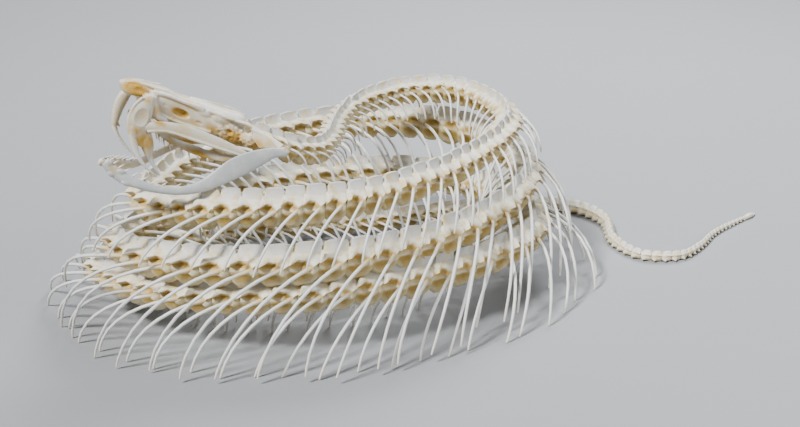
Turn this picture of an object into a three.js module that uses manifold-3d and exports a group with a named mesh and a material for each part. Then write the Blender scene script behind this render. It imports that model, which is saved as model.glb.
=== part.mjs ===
// Coiled skeleton of a pit viper, life size, in millimetres with +Z up.
// The snake lies in a little over three turns, head on top and tail out along the floor.
// Every vertebra has its own pair of ribs, and each length of the body is parted down the middle.
import * as THREE from "three";
import { mergeVertices } from "three/addons/utils/BufferGeometryUtils.js";
import Module from "manifold-3d";

// ---------------------------------------------------------------- driving sizes
const FLOOR = 0;
const CUT = 0.3; // width of every parting cut
const FRAME_SHIFT = new THREE.Vector3(-9.95, 0.22, 0); // puts the origin under the middle of the whole
const VERTEBRAE_PER_LENGTH = 10;
const TRUNK_SHARE = 0.888; // share of the backbone that carries ribs; the rest is the tail
const STEPS_PER_STATION = 24;
const BEARING_SPAN = 3; // length of backbone over which a section's own direction is taken

// Stations of the backbone's centreline, from the skull to the tail's tip, each x, y and height.
const NECK_STATIONS = [
  [-45.4, -29.7, 61.2],
  [-39.5, -27.2, 57.8],
  [-33, -23.8, 54.4],
  [-25.5, -14, 51],
  [-22.6, 2, 50],
  [-20.8, 17.6, 50.8],
  [-13.5, 37.5, 51.9],
];
const UPPER_TURN_STATIONS = [
  [2, 49.8, 53],
  [20, 50.5, 52.9],
  [33, 36.5, 51],
  [36.3, 20.5, 49.2],
  [26.5, -5, 47.8],
  [7, -30.5, 46.6],
  [-18, -47.3, 45.5],
  [-47, -49.5, 44.1],
  [-69.3, -43, 42.2],
  [-78.3, -32, 40.8],
  [-76.1, -14.8, 40.8],
  [-66.5, 13, 40.4],
];
const MIDDLE_TURN_STATIONS = [
  [-47, 40, 39.7],
  [-20, 57.5, 39],
  [11, 61, 38],
  [32, 50.5, 35.3],
  [42.3, 26, 32.6],
  [39.8, 5.1, 31],
  [19, -29, 29.8],
  [-10, -50.8, 29.7],
  [-35.1, -58.1, 29.7],
  [-63, -55, 28.8],
  [-82, -41.5, 27.3],
  [-87.3, -28, 25.9],
  [-80, -6, 24.7],
  [-62, 21, 24.2],
];
const LOWER_TURN_STATIONS = [
  [-35.5, 39.1, 23.8],
  [0, 51.7, 21.8],
  [24, 46, 20],
  [41.6, 24.5, 18.8],
  [44.9, 2.6, 18.5],
  [28.4, -24.3, 19.1],
  [0, -46.3, 19.8],
  [-29.6, -56.5, 19.8],
  [-60, -53.5, 18],
  [-84, -38, 15.6],
  [-97, -16, 12.6],
  [-93, 8, 10],
  [-66, 27, 7.4],
  [-35, 40.5, 5.6],
  [-5, 48.3, 5],
  [24, 60, 4.9],
  [50, 71, 4.2],
];
const TAIL_STATIONS = [
  [66, 68, 3.4],
  [75.5, 55, 3],
  [76.2, 35, 2.6],
  [84, 20.5, 2.2],
  [97, 20, 1.9],
  [106, 30, 1.6],
  [114, 44, 1.3],
  [133.7, 65.9, 1],
];

// How the vertebrae and ribs change along the body: share of the backbone, then the sizes there.
const GROWTH = [
  { at: 0.0, pitch: 4.9, height: 8.4, rib: 7 },
  { at: 0.06, pitch: 5.0, height: 9.2, rib: 11 },
  { at: 0.13, pitch: 5.3, height: 10.4, rib: 18 },
  { at: 0.22, pitch: 6.9, height: 12.2, rib: 25 },
  { at: 0.35, pitch: 7.9, height: 12, rib: 35 },
  { at: 0.46, pitch: 8.4, height: 12, rib: 41 },
  { at: 0.64, pitch: 8.5, height: 11.6, rib: 36 },
  { at: 0.76, pitch: 8.2, height: 10.6, rib: 29 },
  { at: 0.84, pitch: 6.4, height: 8.2, rib: 18 },
  { at: 0.9, pitch: 4.5, height: 6, rib: 8 },
  { at: 0.95, pitch: 3.5, height: 4, rib: 0 },
  { at: 1.0, pitch: 2.4, height: 1.6, rib: 0 },
];

// A vertebra's outline in shares of its height: across from the middle, and up from the centreline.
// "along" is the section's place in shares of the pitch.
const VERTEBRA = {
  broad: { along: 0.24, top: 0.36, facetTop: [0.37, 0.1], facetFoot: [0.35, -0.09], keel: -0.33 },
  waist: { along: 0.74, top: 0.5, side: [0.22, 0.03], keel: -0.43 },
};

const RIB = {
  along: 0.5, // place of the root, in shares of the pitch
  facet: 0.3, // distance of the root from the middle, in shares of the vertebra's height
  rootRadius: 0.56, // outside radius of the three-sided rod
  tipRadius: 0.38,
  spread: 0.46, // reach sideways, in shares of the rib's length
  drop: 0.7,
  sweep: 0.56, // reach towards the tail
  splay: 0.45, // how much of the drop that the floor takes away becomes spread
  roundness: 0.7, // 0 is a straight fall, 1 a quarter circle
  bearing: { perReach: 2.6, least: 4 }, // length of backbone that a rib takes its direction from
  leanSpan: 6, // length of backbone that sets which way a rib's corners face
  knee: 0.42, // where the rod is bent, as a share of its run
  shortest: 31, // a shorter rib than this is one straight rod
  clearance: 0.5, // from any bone of another vertebra
  flatWithin: 1.5, // a tip this many tip radii from the floor is cut level with it
  cornerAngles: [(2 * Math.PI) / 3, (-2 * Math.PI) / 3, 0],
};

// How a rib looks for a clear place: shares of its own reach and drop, and what leaving them costs.
const SETTLE = {
  shares: [0, 0.2, 0.42, 0.7, 1],
  spreads: [1, 1.12, 0.88, 1.26, 0.76, 1.42, 0.64, 1.6, 0.5, 0.38],
  drops: [1, 0.86, 0.72, 0.6, 0.48, 0.36, 0.25],
  shallowCost: 1.3,
  changeCost: 0.8, // for standing differently from the rib behind it
  margin: 12, // beyond a rib's reach, bones are left out of the search
  neighbours: 14, // vertebrae along the same turn, whose column a rib can't meet
};

// Rods that fill a vertebra where ribs have to pass it: rise and radius, in shares of its height.
const COLUMN_RODS = [
  { rise: 0, radius: 0.38 },
  { rise: 0.34, radius: 0.18 },
  { rise: -0.34, radius: 0.18 },
];

const TAIL = {
  lengths: 3,
  middle: 0.5, // height of the centreline over the floor, in shares of the section's height
  tipHeight: 1.2,
  broad: { along: 0.2, top: 0.4, across: 0.52 },
  waist: { along: 0.72, top: 0.55, across: 0.34 },
};

// ---------------------------------------------------------------- sizes of the skull
// The skull is drawn with +X to the snout and +Y to the snake's left.
// Its origin is midway between the jaw joints.
const SKULL = { place: [-41.2, -27.9, 58.9], heading: 205, nose: 28 };

// The braincase and snout: x, then the top, the underside and the half width.
const CRANIUM_SECTIONS = [
  [6.8, 1.1, -1.3, 1.3],
  [8, 3.1, -3, 3.3],
  [10.5, 4.3, -4.6, 6],
  [14.7, 4.6, -5.4, 6.7],
  [19.6, 4, -5.4, 6.2],
  [24.5, 3.5, -4.7, 4.8],
  [28, 2.9, -4.9, 3.9],
  [31.5, 3, -5.2, 3.5],
  [35, 3.6, -4.9, 4.4],
  [40, 2.5, -4, 4.7],
  [43.5, 2.3, -2, 4.1],
  [46, 1.4, -2.5, 3],
  [49.2, 0, -0.9, 0.9],
];
// Its right half's outline: across in shares of the half width, down in shares of the height.
const CRANIUM_OUTLINE = [
  [0, 0],
  [0.66, 0.08],
  [1, 0.42],
  [0.7, 0.84],
  [0, 1],
];

// Rods and bars: x, the distance out from the middle, z, and the half height and half width there.
const LEFT_JAW = [
  [-1.6, 15.2, -1, 0.6, 0.5],
  [2.2, 15, -2.7, 1.9, 0.8],
  [6.2, 14.8, -6, 2.8, 0.9],
  [10.9, 14.2, -10.9, 2.6, 1],
  [15.2, 13.6, -15.9, 1.7, 1.1],
  [19.6, 12.7, -19.6, 1.7, 1.1],
  [24, 11.7, -22.4, 1.75, 1.1],
  [29.6, 10.2, -24.3, 2, 1.1],
  [36, 8.3, -25.2, 2.2, 1.2],
  [43.3, 5.6, -24.9, 1.6, 1.1],
  [44.6, 5, -25.2, 0.7, 0.6],
];
const RIGHT_JAW = [
  [-1.6, 15.2, -1, 0.6, 0.5],
  [2, 15.4, -2, 1.9, 0.8],
  [6, 16, -4.3, 2.8, 0.9],
  [14, 16.4, -8.9, 2.3, 1],
  [24, 14.8, -15, 1.7, 1.1],
  [29, 13, -19, 1.75, 1.1],
  [34, 10.5, -22.4, 2.1, 1.2],
  [38.5, 8, -24.6, 2.2, 1.2],
  [42, 6, -25.6, 1.6, 1.1],
  [43.6, 5, -25.8, 0.7, 0.6],
];
const ECTOPTERYGOID = [
  [37.2, 7.8, -8.8, 1.1, 1],
  [31.1, 8.9, -7.1, 0.9, 0.8],
  [24, 10.4, -6.3, 0.9, 0.7],
  [16, 11.5, -5.8, 0.9, 0.7],
  [9.5, 12.2, -6.1, 1, 0.7],
];
const PTERYGOID = [
  [33.4, 4.2, -7.8, 0.5, 0.5],
  [30, 4.6, -8.6, 0.9, 0.6],
  [24, 5.8, -9.5, 0.9, 0.6],
  [18, 8, -9.5, 1.1, 0.6],
  [12.5, 11.2, -7.4, 1.2, 0.7],
  [7, 12.8, -5, 0.8, 0.6],
  [3.6, 13.3, -2.9, 0.4, 0.4],
];
const SUPRATEMPORAL = [
  [14.5, 6.9, 2.6, 0.45, 0.6],
  [10.5, 7.7, 3, 0.6, 0.8],
  [6, 9.6, 2.5, 0.7, 0.9],
  [3, 12.2, 2, 0.8, 0.8],
  [0.3, 14.8, 1.5, 0.9, 0.8],
];
const QUADRATE_PLATE = { corners: [[9, 9.2, 3], [6.6, 11.6, -3.1], [1, 14.4, 1.2]], thickness: 0.7 };
// The pit-bearing maxilla hangs from the snout: z, its middle in x, half length, distance out, half width.
const MAXILLA = {
  left: [
    [-2.7, 42.6, 1.5, 6.5, 0.9],
    [-5, 42.3, 3.5, 6.8, 1.6],
    [-8.8, 42, 3.8, 7, 1.8],
    [-12, 40.9, 3.6, 6.8, 1.5],
    [-14.7, 38.7, 3.8, 6.7, 1.3],
  ],
  right: [
    [-2.7, 42.9, 1.5, 6.5, 0.9],
    [-5.5, 43, 3, 6.9, 1.6],
    [-8.8, 42.8, 2.9, 7, 1.7],
    [-12.2, 42.3, 2.1, 7, 1.3],
  ],
};
const LEFT_FRONT_FANG = [
  [40.9, 7.2, -13.4, 1.2, 1.1],
  [38.5, 7.4, -16.1, 1, 0.95],
  [35.9, 7.5, -17.9, 0.8, 0.75],
  [33.4, 7.5, -19.3, 0.55, 0.5],
  [31.8, 7.4, -20.3, 0.3, 0.28],
];
const LEFT_REAR_FANG = [
  [37.4, 6.2, -13.8, 1.3, 1.1],
  [35.2, 5.9, -16.8, 1.1, 0.95],
  [32.9, 5.7, -18.6, 0.85, 0.75],
  [30.5, 5.5, -20.2, 0.55, 0.5],
  [28.5, 5.4, -21.5, 0.3, 0.28],
];
const RIGHT_FANG = [
  [43, 7, -11.4, 1.3, 1.1],
  [42.1, 7, -14.9, 1.1, 0.95],
  [40, 6.9, -17.2, 0.9, 0.75],
  [37.9, 6.8, -18.7, 0.65, 0.55],
  [35.2, 6.7, -19.7, 0.42, 0.38],
  [33.3, 6.6, -20.2, 0.3, 0.28],
];
const SMALL_TOOTH = { length: 2.3, radius: 0.4, lean: 0.9, tip: 0.6, seat: 0.7 };
const JAW_TEETH = { first: 0.7, last: 0.93, count: 3 };
const PALATE_TEETH = { first: 0.06, last: 0.5, count: 3 };
const CORNERS = { jaw: 5, bar: 4, fang: 5, maxilla: 6, tooth: 3 };
const GIRTH_POWER = -0.6; // how far a rod of few corners is swelled to keep its girth

const BONE = { colour: "#ded6c0", roughness: 0.62 };
const SKULL_BONE = { colour: "#dcd3bd", roughness: 0.6 };
const TOOTH = { colour: "#e8e2d2", roughness: 0.4 };

// ---------------------------------------------------------------- small tools
const SIDES = [
  { word: "left", side: 1 },
  { word: "right", side: -1 },
];
const PARALLEL = 1e-9; // two directions closer than this are taken as parallel
const WELD = 1e-4; // corners closer than this are one
const mix = (a, b, t) => a + (b - a) * t;
const UP = new THREE.Vector3(0, 0, 1);

/** The sizes at a share of the backbone, between the rows of GROWTH. */
function growthAt(share) {
  const last = GROWTH.length - 1;
  let i = 0;
  while (i < last - 1 && GROWTH[i + 1].at < share) i += 1;
  const a = GROWTH[i];
  const b = GROWTH[i + 1];
  const t = Math.min(Math.max((share - a.at) / (b.at - a.at), 0), 1);
  return {
    pitch: mix(a.pitch, b.pitch, t),
    height: mix(a.height, b.height, t),
    rib: mix(a.rib, b.rib, t),
  };
}

/** A smooth line through stations, measured by its own length. */
class Line {
  constructor(stations) {
    const points = stations.map((p) => new THREE.Vector3(...p));
    const curve = new THREE.CatmullRomCurve3(points, false, "centripetal");
    const count = (points.length - 1) * STEPS_PER_STATION;
    this.points = Array.from({ length: count + 1 }, (_, i) => curve.getPoint(i / count));
    this.reach = [0];
    for (let i = 1; i <= count; i += 1) {
      this.reach.push(this.reach[i - 1] + this.points[i].distanceTo(this.points[i - 1]));
    }
    this.length = this.reach[count];
  }

  at(distance) {
    const last = this.points.length - 1;
    let low = 0;
    let high = last - 1;
    while (low < high) {
      const middle = Math.ceil((low + high) / 2);
      if (this.reach[middle] <= distance) low = middle;
      else high = middle - 1;
    }
    const t = (distance - this.reach[low]) / (this.reach[low + 1] - this.reach[low]);
    return this.points[low].clone().lerp(this.points[low + 1], t);
  }

  /** Direction from a point half a span back to one half a span on. */
  heading(distance, span) {
    const back = Math.max(distance - span / 2, 0);
    const on = Math.min(distance + span / 2, this.length);
    return this.at(on).sub(this.at(back)).normalize();
  }
}

/** Collects the triangles of one closed body. */
class Body {
  constructor() {
    this.points = [];
    this.faces = [];
  }

  add(point) {
    this.points.push(point);
    return this.points.length - 1;
  }

  ring(points) {
    return points.map((p) => this.add(p));
  }

  face(...corners) {
    for (let i = 1; i + 1 < corners.length; i += 1) {
      this.faces.push([corners[0], corners[i], corners[i + 1]]);
    }
  }

  /** Closes the wall between two rings of equal count. */
  bridge(a, b) {
    a.forEach((p, i) => {
      const j = (i + 1) % a.length;
      this.faces.push([p, a[j], b[j]], [p, b[j], b[i]]);
    });
  }

  /** A closed rod through rings, with both ends capped. */
  static loft(rings) {
    const body = new Body();
    const made = rings.map((points) => body.ring(points));
    body.face(...[...made[0]].reverse());
    made.slice(1).forEach((ring, i) => body.bridge(made[i], ring));
    body.face(...made[made.length - 1]);
    return body;
  }

  volume() {
    return this.faces.reduce((sum, [i, j, k]) => {
      const [a, b, c] = [this.points[i], this.points[j], this.points[k]];
      return sum + a.dot(b.clone().cross(c)) / 6;
    }, 0);
  }

  geometry(matrix = new THREE.Matrix4()) {
    const flip = this.volume() < 0;
    const corners = this.faces.flatMap(([i, j, k]) => (flip ? [i, k, j] : [i, j, k]));
    const placed = corners.map((i) => this.points[i].clone().applyMatrix4(matrix));
    const made = new THREE.BufferGeometry().setFromPoints(placed);
    made.computeVertexNormals();
    return made;
  }
}

function mesh(name, geometry, finish) {
  const material = new THREE.MeshStandardMaterial({
    color: finish.colour,
    roughness: finish.roughness,
    metalness: 0,
  });
  const made = new THREE.Mesh(geometry, material);
  made.name = name;
  return made;
}

// ---------------------------------------------------------------- backbone
const backbone = new Line([
  ...NECK_STATIONS,
  ...UPPER_TURN_STATIONS,
  ...MIDDLE_TURN_STATIONS,
  ...LOWER_TURN_STATIONS,
  ...TAIL_STATIONS,
]);

/** Every vertebra with its place and sizes, from the skull to the tail's tip. */
function layVertebrae() {
  const laid = [];
  let from = 0;
  while (from < backbone.length - 2 * GROWTH[GROWTH.length - 1].pitch) {
    const share = from / backbone.length;
    laid.push({ from, share, ...growthAt(share) });
    from += growthAt(share).pitch;
  }
  return laid;
}

/** Place of a section of the backbone: its centre, its way up and its way to the snake's left. */
function sectionFrame(distance) {
  const centre = backbone.at(distance);
  const tailward = backbone.heading(distance, BEARING_SPAN);
  const left = tailward.clone().cross(UP).normalize();
  const up = left.clone().cross(tailward).normalize();
  return { centre, up, left };
}

function placeIn(frame, across, high) {
  return frame.centre.clone().addScaledVector(frame.left, across).addScaledVector(frame.up, high);
}

/** Half a broad section, from the spine's top round the rib's facet to the keel. */
function broadRing(vertebra, side, distance) {
  const frame = sectionFrame(distance);
  const { top, facetTop, facetFoot, keel } = VERTEBRA.broad;
  const size = vertebra.height;
  const cut = (side * CUT) / 2;
  return [
    placeIn(frame, cut, top * size),
    placeIn(frame, side * facetTop[0] * size, facetTop[1] * size),
    placeIn(frame, side * facetFoot[0] * size, facetFoot[1] * size),
    placeIn(frame, cut, keel * size),
  ];
}

/** Half a waist section: spine's top, side and keel. */
function waistRing(vertebra, side, distance) {
  const frame = sectionFrame(distance);
  const { top, side: flank, keel } = VERTEBRA.waist;
  const size = vertebra.height;
  const cut = (side * CUT) / 2;
  return [
    placeIn(frame, cut, top * size),
    placeIn(frame, side * flank[0] * size, flank[1] * size),
    placeIn(frame, cut, keel * size),
  ];
}

// ---------------------------------------------------------------- ribs
/** Points down one rib, for a reach sideways and a drop that start from its facet. */
function ribRun(vertebra, side, spread, drop, shares) {
  const start = vertebra.from + RIB.along * vertebra.pitch;
  const facet = RIB.facet * vertebra.height;
  const rootHeight = backbone.at(start).z;
  const sweep = RIB.sweep * vertebra.rib;
  const span = RIB.bearing.perReach * spread + RIB.bearing.least;
  return shares.map((share) => {
    const turn = (share * Math.PI) / 2;
    const place = Math.min(start + sweep * share, backbone.length);
    const left = backbone.heading(place, span).cross(UP).normalize();
    const across = side * mix(facet, Math.max(spread, facet), Math.sin(turn));
    const fall = drop * mix(share, 1 - Math.cos(turn), RIB.roundness);
    const point = backbone.at(place).addScaledVector(left, across);
    point.z = rootHeight - fall;
    return point;
  });
}

/** Where a rib's rod has its rings: a short one is straight, a longer one has a knee. */
function rodShares(vertebra) {
  return vertebra.rib < RIB.shortest ? [0, 1] : [0, RIB.knee, 1];
}

/** The two lines that a rib must keep clear: its true curve and its rod. */
function ribLines(vertebra, side, spread, drop) {
  return [
    ribRun(vertebra, side, spread, drop, SETTLE.shares),
    ribRun(vertebra, side, spread, drop, rodShares(vertebra)),
  ];
}

/** Shortest distance between two straight pieces. */
function pieceDistance(a, b, c, d) {
  const u = b.clone().sub(a);
  const v = d.clone().sub(c);
  const w = a.clone().sub(c);
  const uu = u.dot(u);
  const uv = u.dot(v);
  const vv = v.dot(v);
  const uw = u.dot(w);
  const vw = v.dot(w);
  const spanned = uu * vv - uv * uv;
  let s = spanned > PARALLEL ? THREE.MathUtils.clamp((uv * vw - vv * uw) / spanned, 0, 1) : 0;
  const t = THREE.MathUtils.clamp((uv * s + vw) / vv, 0, 1);
  s = THREE.MathUtils.clamp((uv * t - uw) / uu, 0, 1);
  const across = w.addScaledVector(u, s).addScaledVector(v, -t);
  return across.length();
}

/** Rods that stand for the column where ribs have to pass it. */
function columnRods(vertebrae) {
  const rods = [];
  vertebrae.slice(0, -1).forEach((vertebra, i) => {
    const size = vertebra.height;
    const a = backbone.at(vertebra.from);
    const b = backbone.at(vertebrae[i + 1].from);
    COLUMN_RODS.forEach(({ rise, radius }) => {
      const lift = new THREE.Vector3(0, 0, rise * size);
      rods.push({ a: a.clone().add(lift), b: b.clone().add(lift), radius: radius * size, owner: i });
    });
  });
  return rods;
}

/** Every reach and drop that a rib may try, the ones nearest its own and its neighbour's first. */
function rankChoices(before) {
  const { spreads, drops, shallowCost, changeCost } = SETTLE;
  const choices = spreads.flatMap((wide) =>
    drops.map((deep) => {
      const own = Math.abs(Math.log(wide)) + shallowCost * (1 - deep);
      const change = changeCost * (Math.abs(wide - before.wide) + Math.abs(deep - before.deep));
      return { wide, deep, cost: own + change };
    }),
  );
  return choices.sort((p, q) => p.cost - q.cost);
}

/** Finds for each rib the reach and drop nearest its natural ones that clear the turns below. */
function settleRibs(vertebrae, ribbed) {
  const rods = columnRods(vertebrae);
  const settled = new Map();
  SIDES.forEach(({ side }) => {
    let before = { wide: 1, deep: 1 };
    for (let i = ribbed - 1; i >= 0; i -= 1) {
      const vertebra = vertebrae[i];
      const natural = naturalRib(vertebra);
      const root = backbone.at(vertebra.from);
      const near = rods.filter((rod) => {
        const own = rod.rib === undefined && Math.abs(rod.owner - i) < SETTLE.neighbours;
        return !own && rod.a.distanceTo(root) < vertebra.rib + SETTLE.margin;
      });
      const found = rankChoices(before).find((choice) => clears(vertebra, side, natural, choice, near));
      if (!found) throw new Error(`no clear place for rib ${i} on side ${side}`);
      before = found;
      const run = [natural.spread * found.wide, natural.drop * found.deep];
      settled.set(`${i}:${side}`, run);
      ribLines(vertebra, side, ...run).forEach((points) => {
        points.slice(1).forEach((b, k) => {
          rods.push({ a: points[k], b, radius: RIB.rootRadius, owner: i, rib: true });
        });
      });
    }
  });
  return settled;
}

/** A rib's own reach and drop where nothing is in its way but the floor. */
function naturalRib(vertebra) {
  const height = backbone.at(vertebra.from + RIB.along * vertebra.pitch).z - FLOOR;
  const free = RIB.drop * vertebra.rib;
  const drop = Math.min(free, height);
  const spread = RIB.spread * vertebra.rib + RIB.splay * (free - drop);
  return { drop, spread };
}

function clears(vertebra, side, natural, choice, rods) {
  const spread = natural.spread * choice.wide;
  const drop = natural.drop * choice.deep;
  return ribLines(vertebra, side, spread, drop).every((points) =>
    points.slice(1).every((b, k) =>
      rods.every((rod) => {
        const room = rod.radius + RIB.rootRadius + RIB.clearance;
        return pieceDistance(points[k], b, rod.a, rod.b) > room;
      }),
    ),
  );
}

/** Grows a rib out of the facet's three corners and closes it at its tip. */
function growRib(body, corners, vertebra, side, [spread, drop]) {
  const shares = rodShares(vertebra);
  const run = ribRun(vertebra, side, spread, drop, shares);
  let ring = corners;
  for (let k = 1; k < run.length; k += 1) {
    const ahead = run[Math.min(k + 1, run.length - 1)];
    const along = ahead.clone().sub(run[k - 1]).normalize();
    const tailward = backbone.heading(vertebra.from + RIB.along * vertebra.pitch, RIB.leanSpan);
    const rear = tailward.addScaledVector(along, -tailward.dot(along)).normalize();
    const upper = along.clone().cross(rear).multiplyScalar(side);
    const radius = mix(RIB.rootRadius, RIB.tipRadius, shares[k]);
    const onFloor = k === run.length - 1 && run[k].z < FLOOR + RIB.flatWithin * RIB.tipRadius;
    const next = RIB.cornerAngles.map((angle) => {
      const point = run[k].clone();
      point.addScaledVector(rear, radius * Math.cos(angle));
      point.addScaledVector(upper, radius * Math.sin(angle));
      if (onFloor) point.z = FLOOR;
      return point;
    });
    const made = body.ring(next);
    body.bridge(ring, made);
    ring = made;
  }
  body.face(...ring);
}

// ---------------------------------------------------------------- lengths of the body
/** One side of a run of vertebrae with its ribs, as one closed body. */
function buildHalfLength(vertebrae, first, last, side, ribs) {
  const body = new Body();
  const { broad, waist } = VERTEBRA;
  let previous = null;
  for (let i = first; i <= last; i += 1) {
    const vertebra = vertebrae[i];
    const broadAt = vertebra.from + broad.along * vertebra.pitch;
    const waistAt = vertebra.from + waist.along * vertebra.pitch;
    const front = body.ring(broadRing(vertebra, side, broadAt));
    if (previous) joinWaistToBroad(body, previous, front);
    else body.face(...[...front].reverse());
    const [top, facetTop, facetFoot, keel] = front;
    const rear = body.ring(waistRing(vertebra, side, waistAt));
    const [rearTop, flank, rearKeel] = rear;
    body.faces.push([top, facetTop, flank], [top, flank, rearTop]);
    body.faces.push([facetFoot, keel, rearKeel], [facetFoot, rearKeel, flank]);
    body.faces.push([keel, top, rearTop], [keel, rearTop, rearKeel]);
    growRib(body, [facetTop, facetFoot, flank], vertebra, side, ribs.get(`${i}:${side}`));
    previous = rear;
  }
  const after = vertebrae[last + 1];
  const end = body.ring(broadRing(after, side, after.from + broad.along * after.pitch - CUT));
  joinWaistToBroad(body, previous, end);
  body.face(...end);
  return body;
}

function joinWaistToBroad(body, [top, flank, keel], [nextTop, facetTop, facetFoot, nextKeel]) {
  body.faces.push([top, flank, facetTop], [top, facetTop, nextTop]);
  body.faces.push([flank, facetFoot, facetTop]);
  body.faces.push([flank, keel, nextKeel], [flank, nextKeel, facetFoot]);
  body.faces.push([keel, top, nextTop], [keel, nextTop, nextKeel]);
}

/** A three-cornered section of the tail that stands on the floor. */
function tailRing(vertebra, shape, distance) {
  const frame = sectionFrame(distance);
  const size = vertebra.height;
  const corners = [
    [0, shape.top * size],
    [-shape.across * size, -TAIL.middle * size],
    [shape.across * size, -TAIL.middle * size],
  ];
  return corners.map(([across, high]) => {
    const point = frame.centre.clone().addScaledVector(frame.left, across);
    point.z = FLOOR + TAIL.middle * size + high;
    return point;
  });
}

function buildTailLength(vertebrae, first, last) {
  const rings = [];
  for (let i = first; i <= last; i += 1) {
    const { from, pitch } = vertebrae[i];
    rings.push(tailRing(vertebrae[i], TAIL.broad, from + TAIL.broad.along * pitch));
    rings.push(tailRing(vertebrae[i], TAIL.waist, from + TAIL.waist.along * pitch));
  }
  const after = vertebrae[last + 1];
  const { from, pitch } = after ?? vertebrae[last];
  if (after) rings.push(tailRing(after, TAIL.broad, from + TAIL.broad.along * pitch - CUT));
  else rings.push(tailRing({ height: TAIL.tipHeight }, TAIL.waist, backbone.length));
  return Body.loft(rings);
}

// ---------------------------------------------------------------- skull
const wasm = await Module();
wasm.setup();

/** Joins closed bodies into one with manifold-3d. */
function join(bodies) {
  const solids = bodies.map((body) => {
    const loose = body.geometry();
    loose.deleteAttribute("normal");
    const merged = mergeVertices(loose, WELD);
    const vertProperties = new Float32Array(merged.attributes.position.array);
    const triVerts = new Uint32Array(merged.index.array);
    return new wasm.Manifold(new wasm.Mesh({ numProp: 3, vertProperties, triVerts }));
  });
  const { vertProperties, triVerts } = solids.reduce((a, b) => a.add(b)).getMesh();
  const made = new THREE.BufferGeometry();
  made.setAttribute("position", new THREE.BufferAttribute(new Float32Array(vertProperties), 3));
  made.setIndex(new THREE.BufferAttribute(new Uint32Array(triVerts), 1));
  const open = made.toNonIndexed();
  open.computeVertexNormals();
  return open;
}

/** A rod through rows of x, distance out, z, half height and half width. */
function rod(rows, side, corners) {
  const swell = Math.cos(Math.PI / corners) ** GIRTH_POWER;
  const middles = rows.map(([x, out, z]) => new THREE.Vector3(x, side * out, z));
  const rings = rows.map(([, , , halfHeight, halfWidth], i) => {
    const back = middles[Math.max(i - 1, 0)];
    const on = middles[Math.min(i + 1, rows.length - 1)];
    const along = on.clone().sub(back).normalize();
    const across = UP.clone().cross(along).normalize();
    const high = along.clone().cross(across);
    return Array.from({ length: corners }, (_, k) => {
      const angle = ((k + 0.5) / corners) * 2 * Math.PI;
      const point = middles[i].clone();
      point.addScaledVector(across, swell * halfWidth * Math.cos(angle));
      return point.addScaledVector(high, swell * halfHeight * Math.sin(angle));
    });
  });
  return Body.loft(rings);
}

/** A point on a rod's upper or lower edge, at a share of its run. */
function onRod(rows, side, share, edge) {
  const place = share * (rows.length - 1);
  const i = Math.min(Math.floor(place), rows.length - 2);
  const [x, out, z, halfHeight] = rows[i].map((value, k) => mix(value, rows[i + 1][k], place - i));
  return new THREE.Vector3(x, side * out, z + edge * halfHeight * SMALL_TOOTH.seat);
}

/** Small teeth in a row along a rod, leaning towards the throat. */
function teethOn(rows, side, row, edge) {
  return Array.from({ length: row.count }, (_, i) => {
    const share = mix(row.first, row.last, i / (row.count - 1));
    const foot = onRod(rows, side, share, edge);
    const { length, radius, lean, tip: tipShare } = SMALL_TOOTH;
    const tip = foot.clone().add(new THREE.Vector3(-lean * length, 0, edge * length));
    const ringAt = (centre, size) =>
      Array.from({ length: CORNERS.tooth }, (_, k) => {
        const angle = (k * 2 * Math.PI) / CORNERS.tooth;
        return centre.clone().add(new THREE.Vector3(size * Math.cos(angle), size * Math.sin(angle), 0));
      });
    return Body.loft([ringAt(foot, radius), ringAt(tip, tipShare * radius)]);
  });
}

function buildCranium() {
  const rings = CRANIUM_SECTIONS.map(([x, top, foot, half]) => {
    const high = top - foot;
    const mirrored = CRANIUM_OUTLINE.slice(1, -1).reverse();
    const outline = [...CRANIUM_OUTLINE, ...mirrored.map(([across, down]) => [-across, down])];
    return outline.map(([across, down]) => new THREE.Vector3(x, across * half, top - down * high));
  });
  return Body.loft(rings);
}

function buildMaxilla(sections, fangs, side) {
  const rings = sections.map(([z, middle, halfLength, out, halfWidth]) =>
    Array.from({ length: CORNERS.maxilla }, (_, k) => {
      const angle = (k / CORNERS.maxilla) * 2 * Math.PI;
      const x = middle + halfLength * Math.cos(angle);
      return new THREE.Vector3(x, side * (out + halfWidth * Math.sin(angle)), z);
    }),
  );
  return join([Body.loft(rings), ...fangs.map((fang) => rod(fang, side, CORNERS.fang))]);
}

function buildQuadrate(side) {
  const { corners, thickness } = QUADRATE_PLATE;
  const faces = [-0.5, 0.5].map((offset) =>
    corners.map(([x, out, z]) => new THREE.Vector3(x, side * (out + offset * thickness), z)),
  );
  return join([rod(SUPRATEMPORAL, side, CORNERS.bar), Body.loft(faces)]);
}

function buildSkull() {
  const skull = new THREE.Group();
  skull.position.set(...SKULL.place);
  const turn = THREE.MathUtils.degToRad;
  skull.rotation.set(0, -turn(SKULL.nose), turn(SKULL.heading), "ZYX");
  skull.add(mesh("cranium", buildCranium().geometry(), SKULL_BONE));
  const { left, right } = MAXILLA;
  skull.add(mesh("maxilla_left", buildMaxilla(left, [LEFT_FRONT_FANG, LEFT_REAR_FANG], 1), TOOTH));
  skull.add(mesh("maxilla_right", buildMaxilla(right, [RIGHT_FANG], -1), TOOTH));
  SIDES.forEach(({ word, side }) => {
    const jaw = side > 0 ? LEFT_JAW : RIGHT_JAW;
    const palate = [rod(ECTOPTERYGOID, side, CORNERS.bar), rod(PTERYGOID, side, CORNERS.bar)];
    palate.push(...teethOn(PTERYGOID, side, PALATE_TEETH, -1));
    skull.add(mesh(`palate_${word}`, join(palate), SKULL_BONE));
    skull.add(mesh(`quadrate_${word}`, buildQuadrate(side), SKULL_BONE));
    const lower = [rod(jaw, side, CORNERS.jaw), ...teethOn(jaw, side, JAW_TEETH, 1)];
    skull.add(mesh(`lower_jaw_${word}`, join(lower), SKULL_BONE));
  });
  return skull;
}

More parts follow.
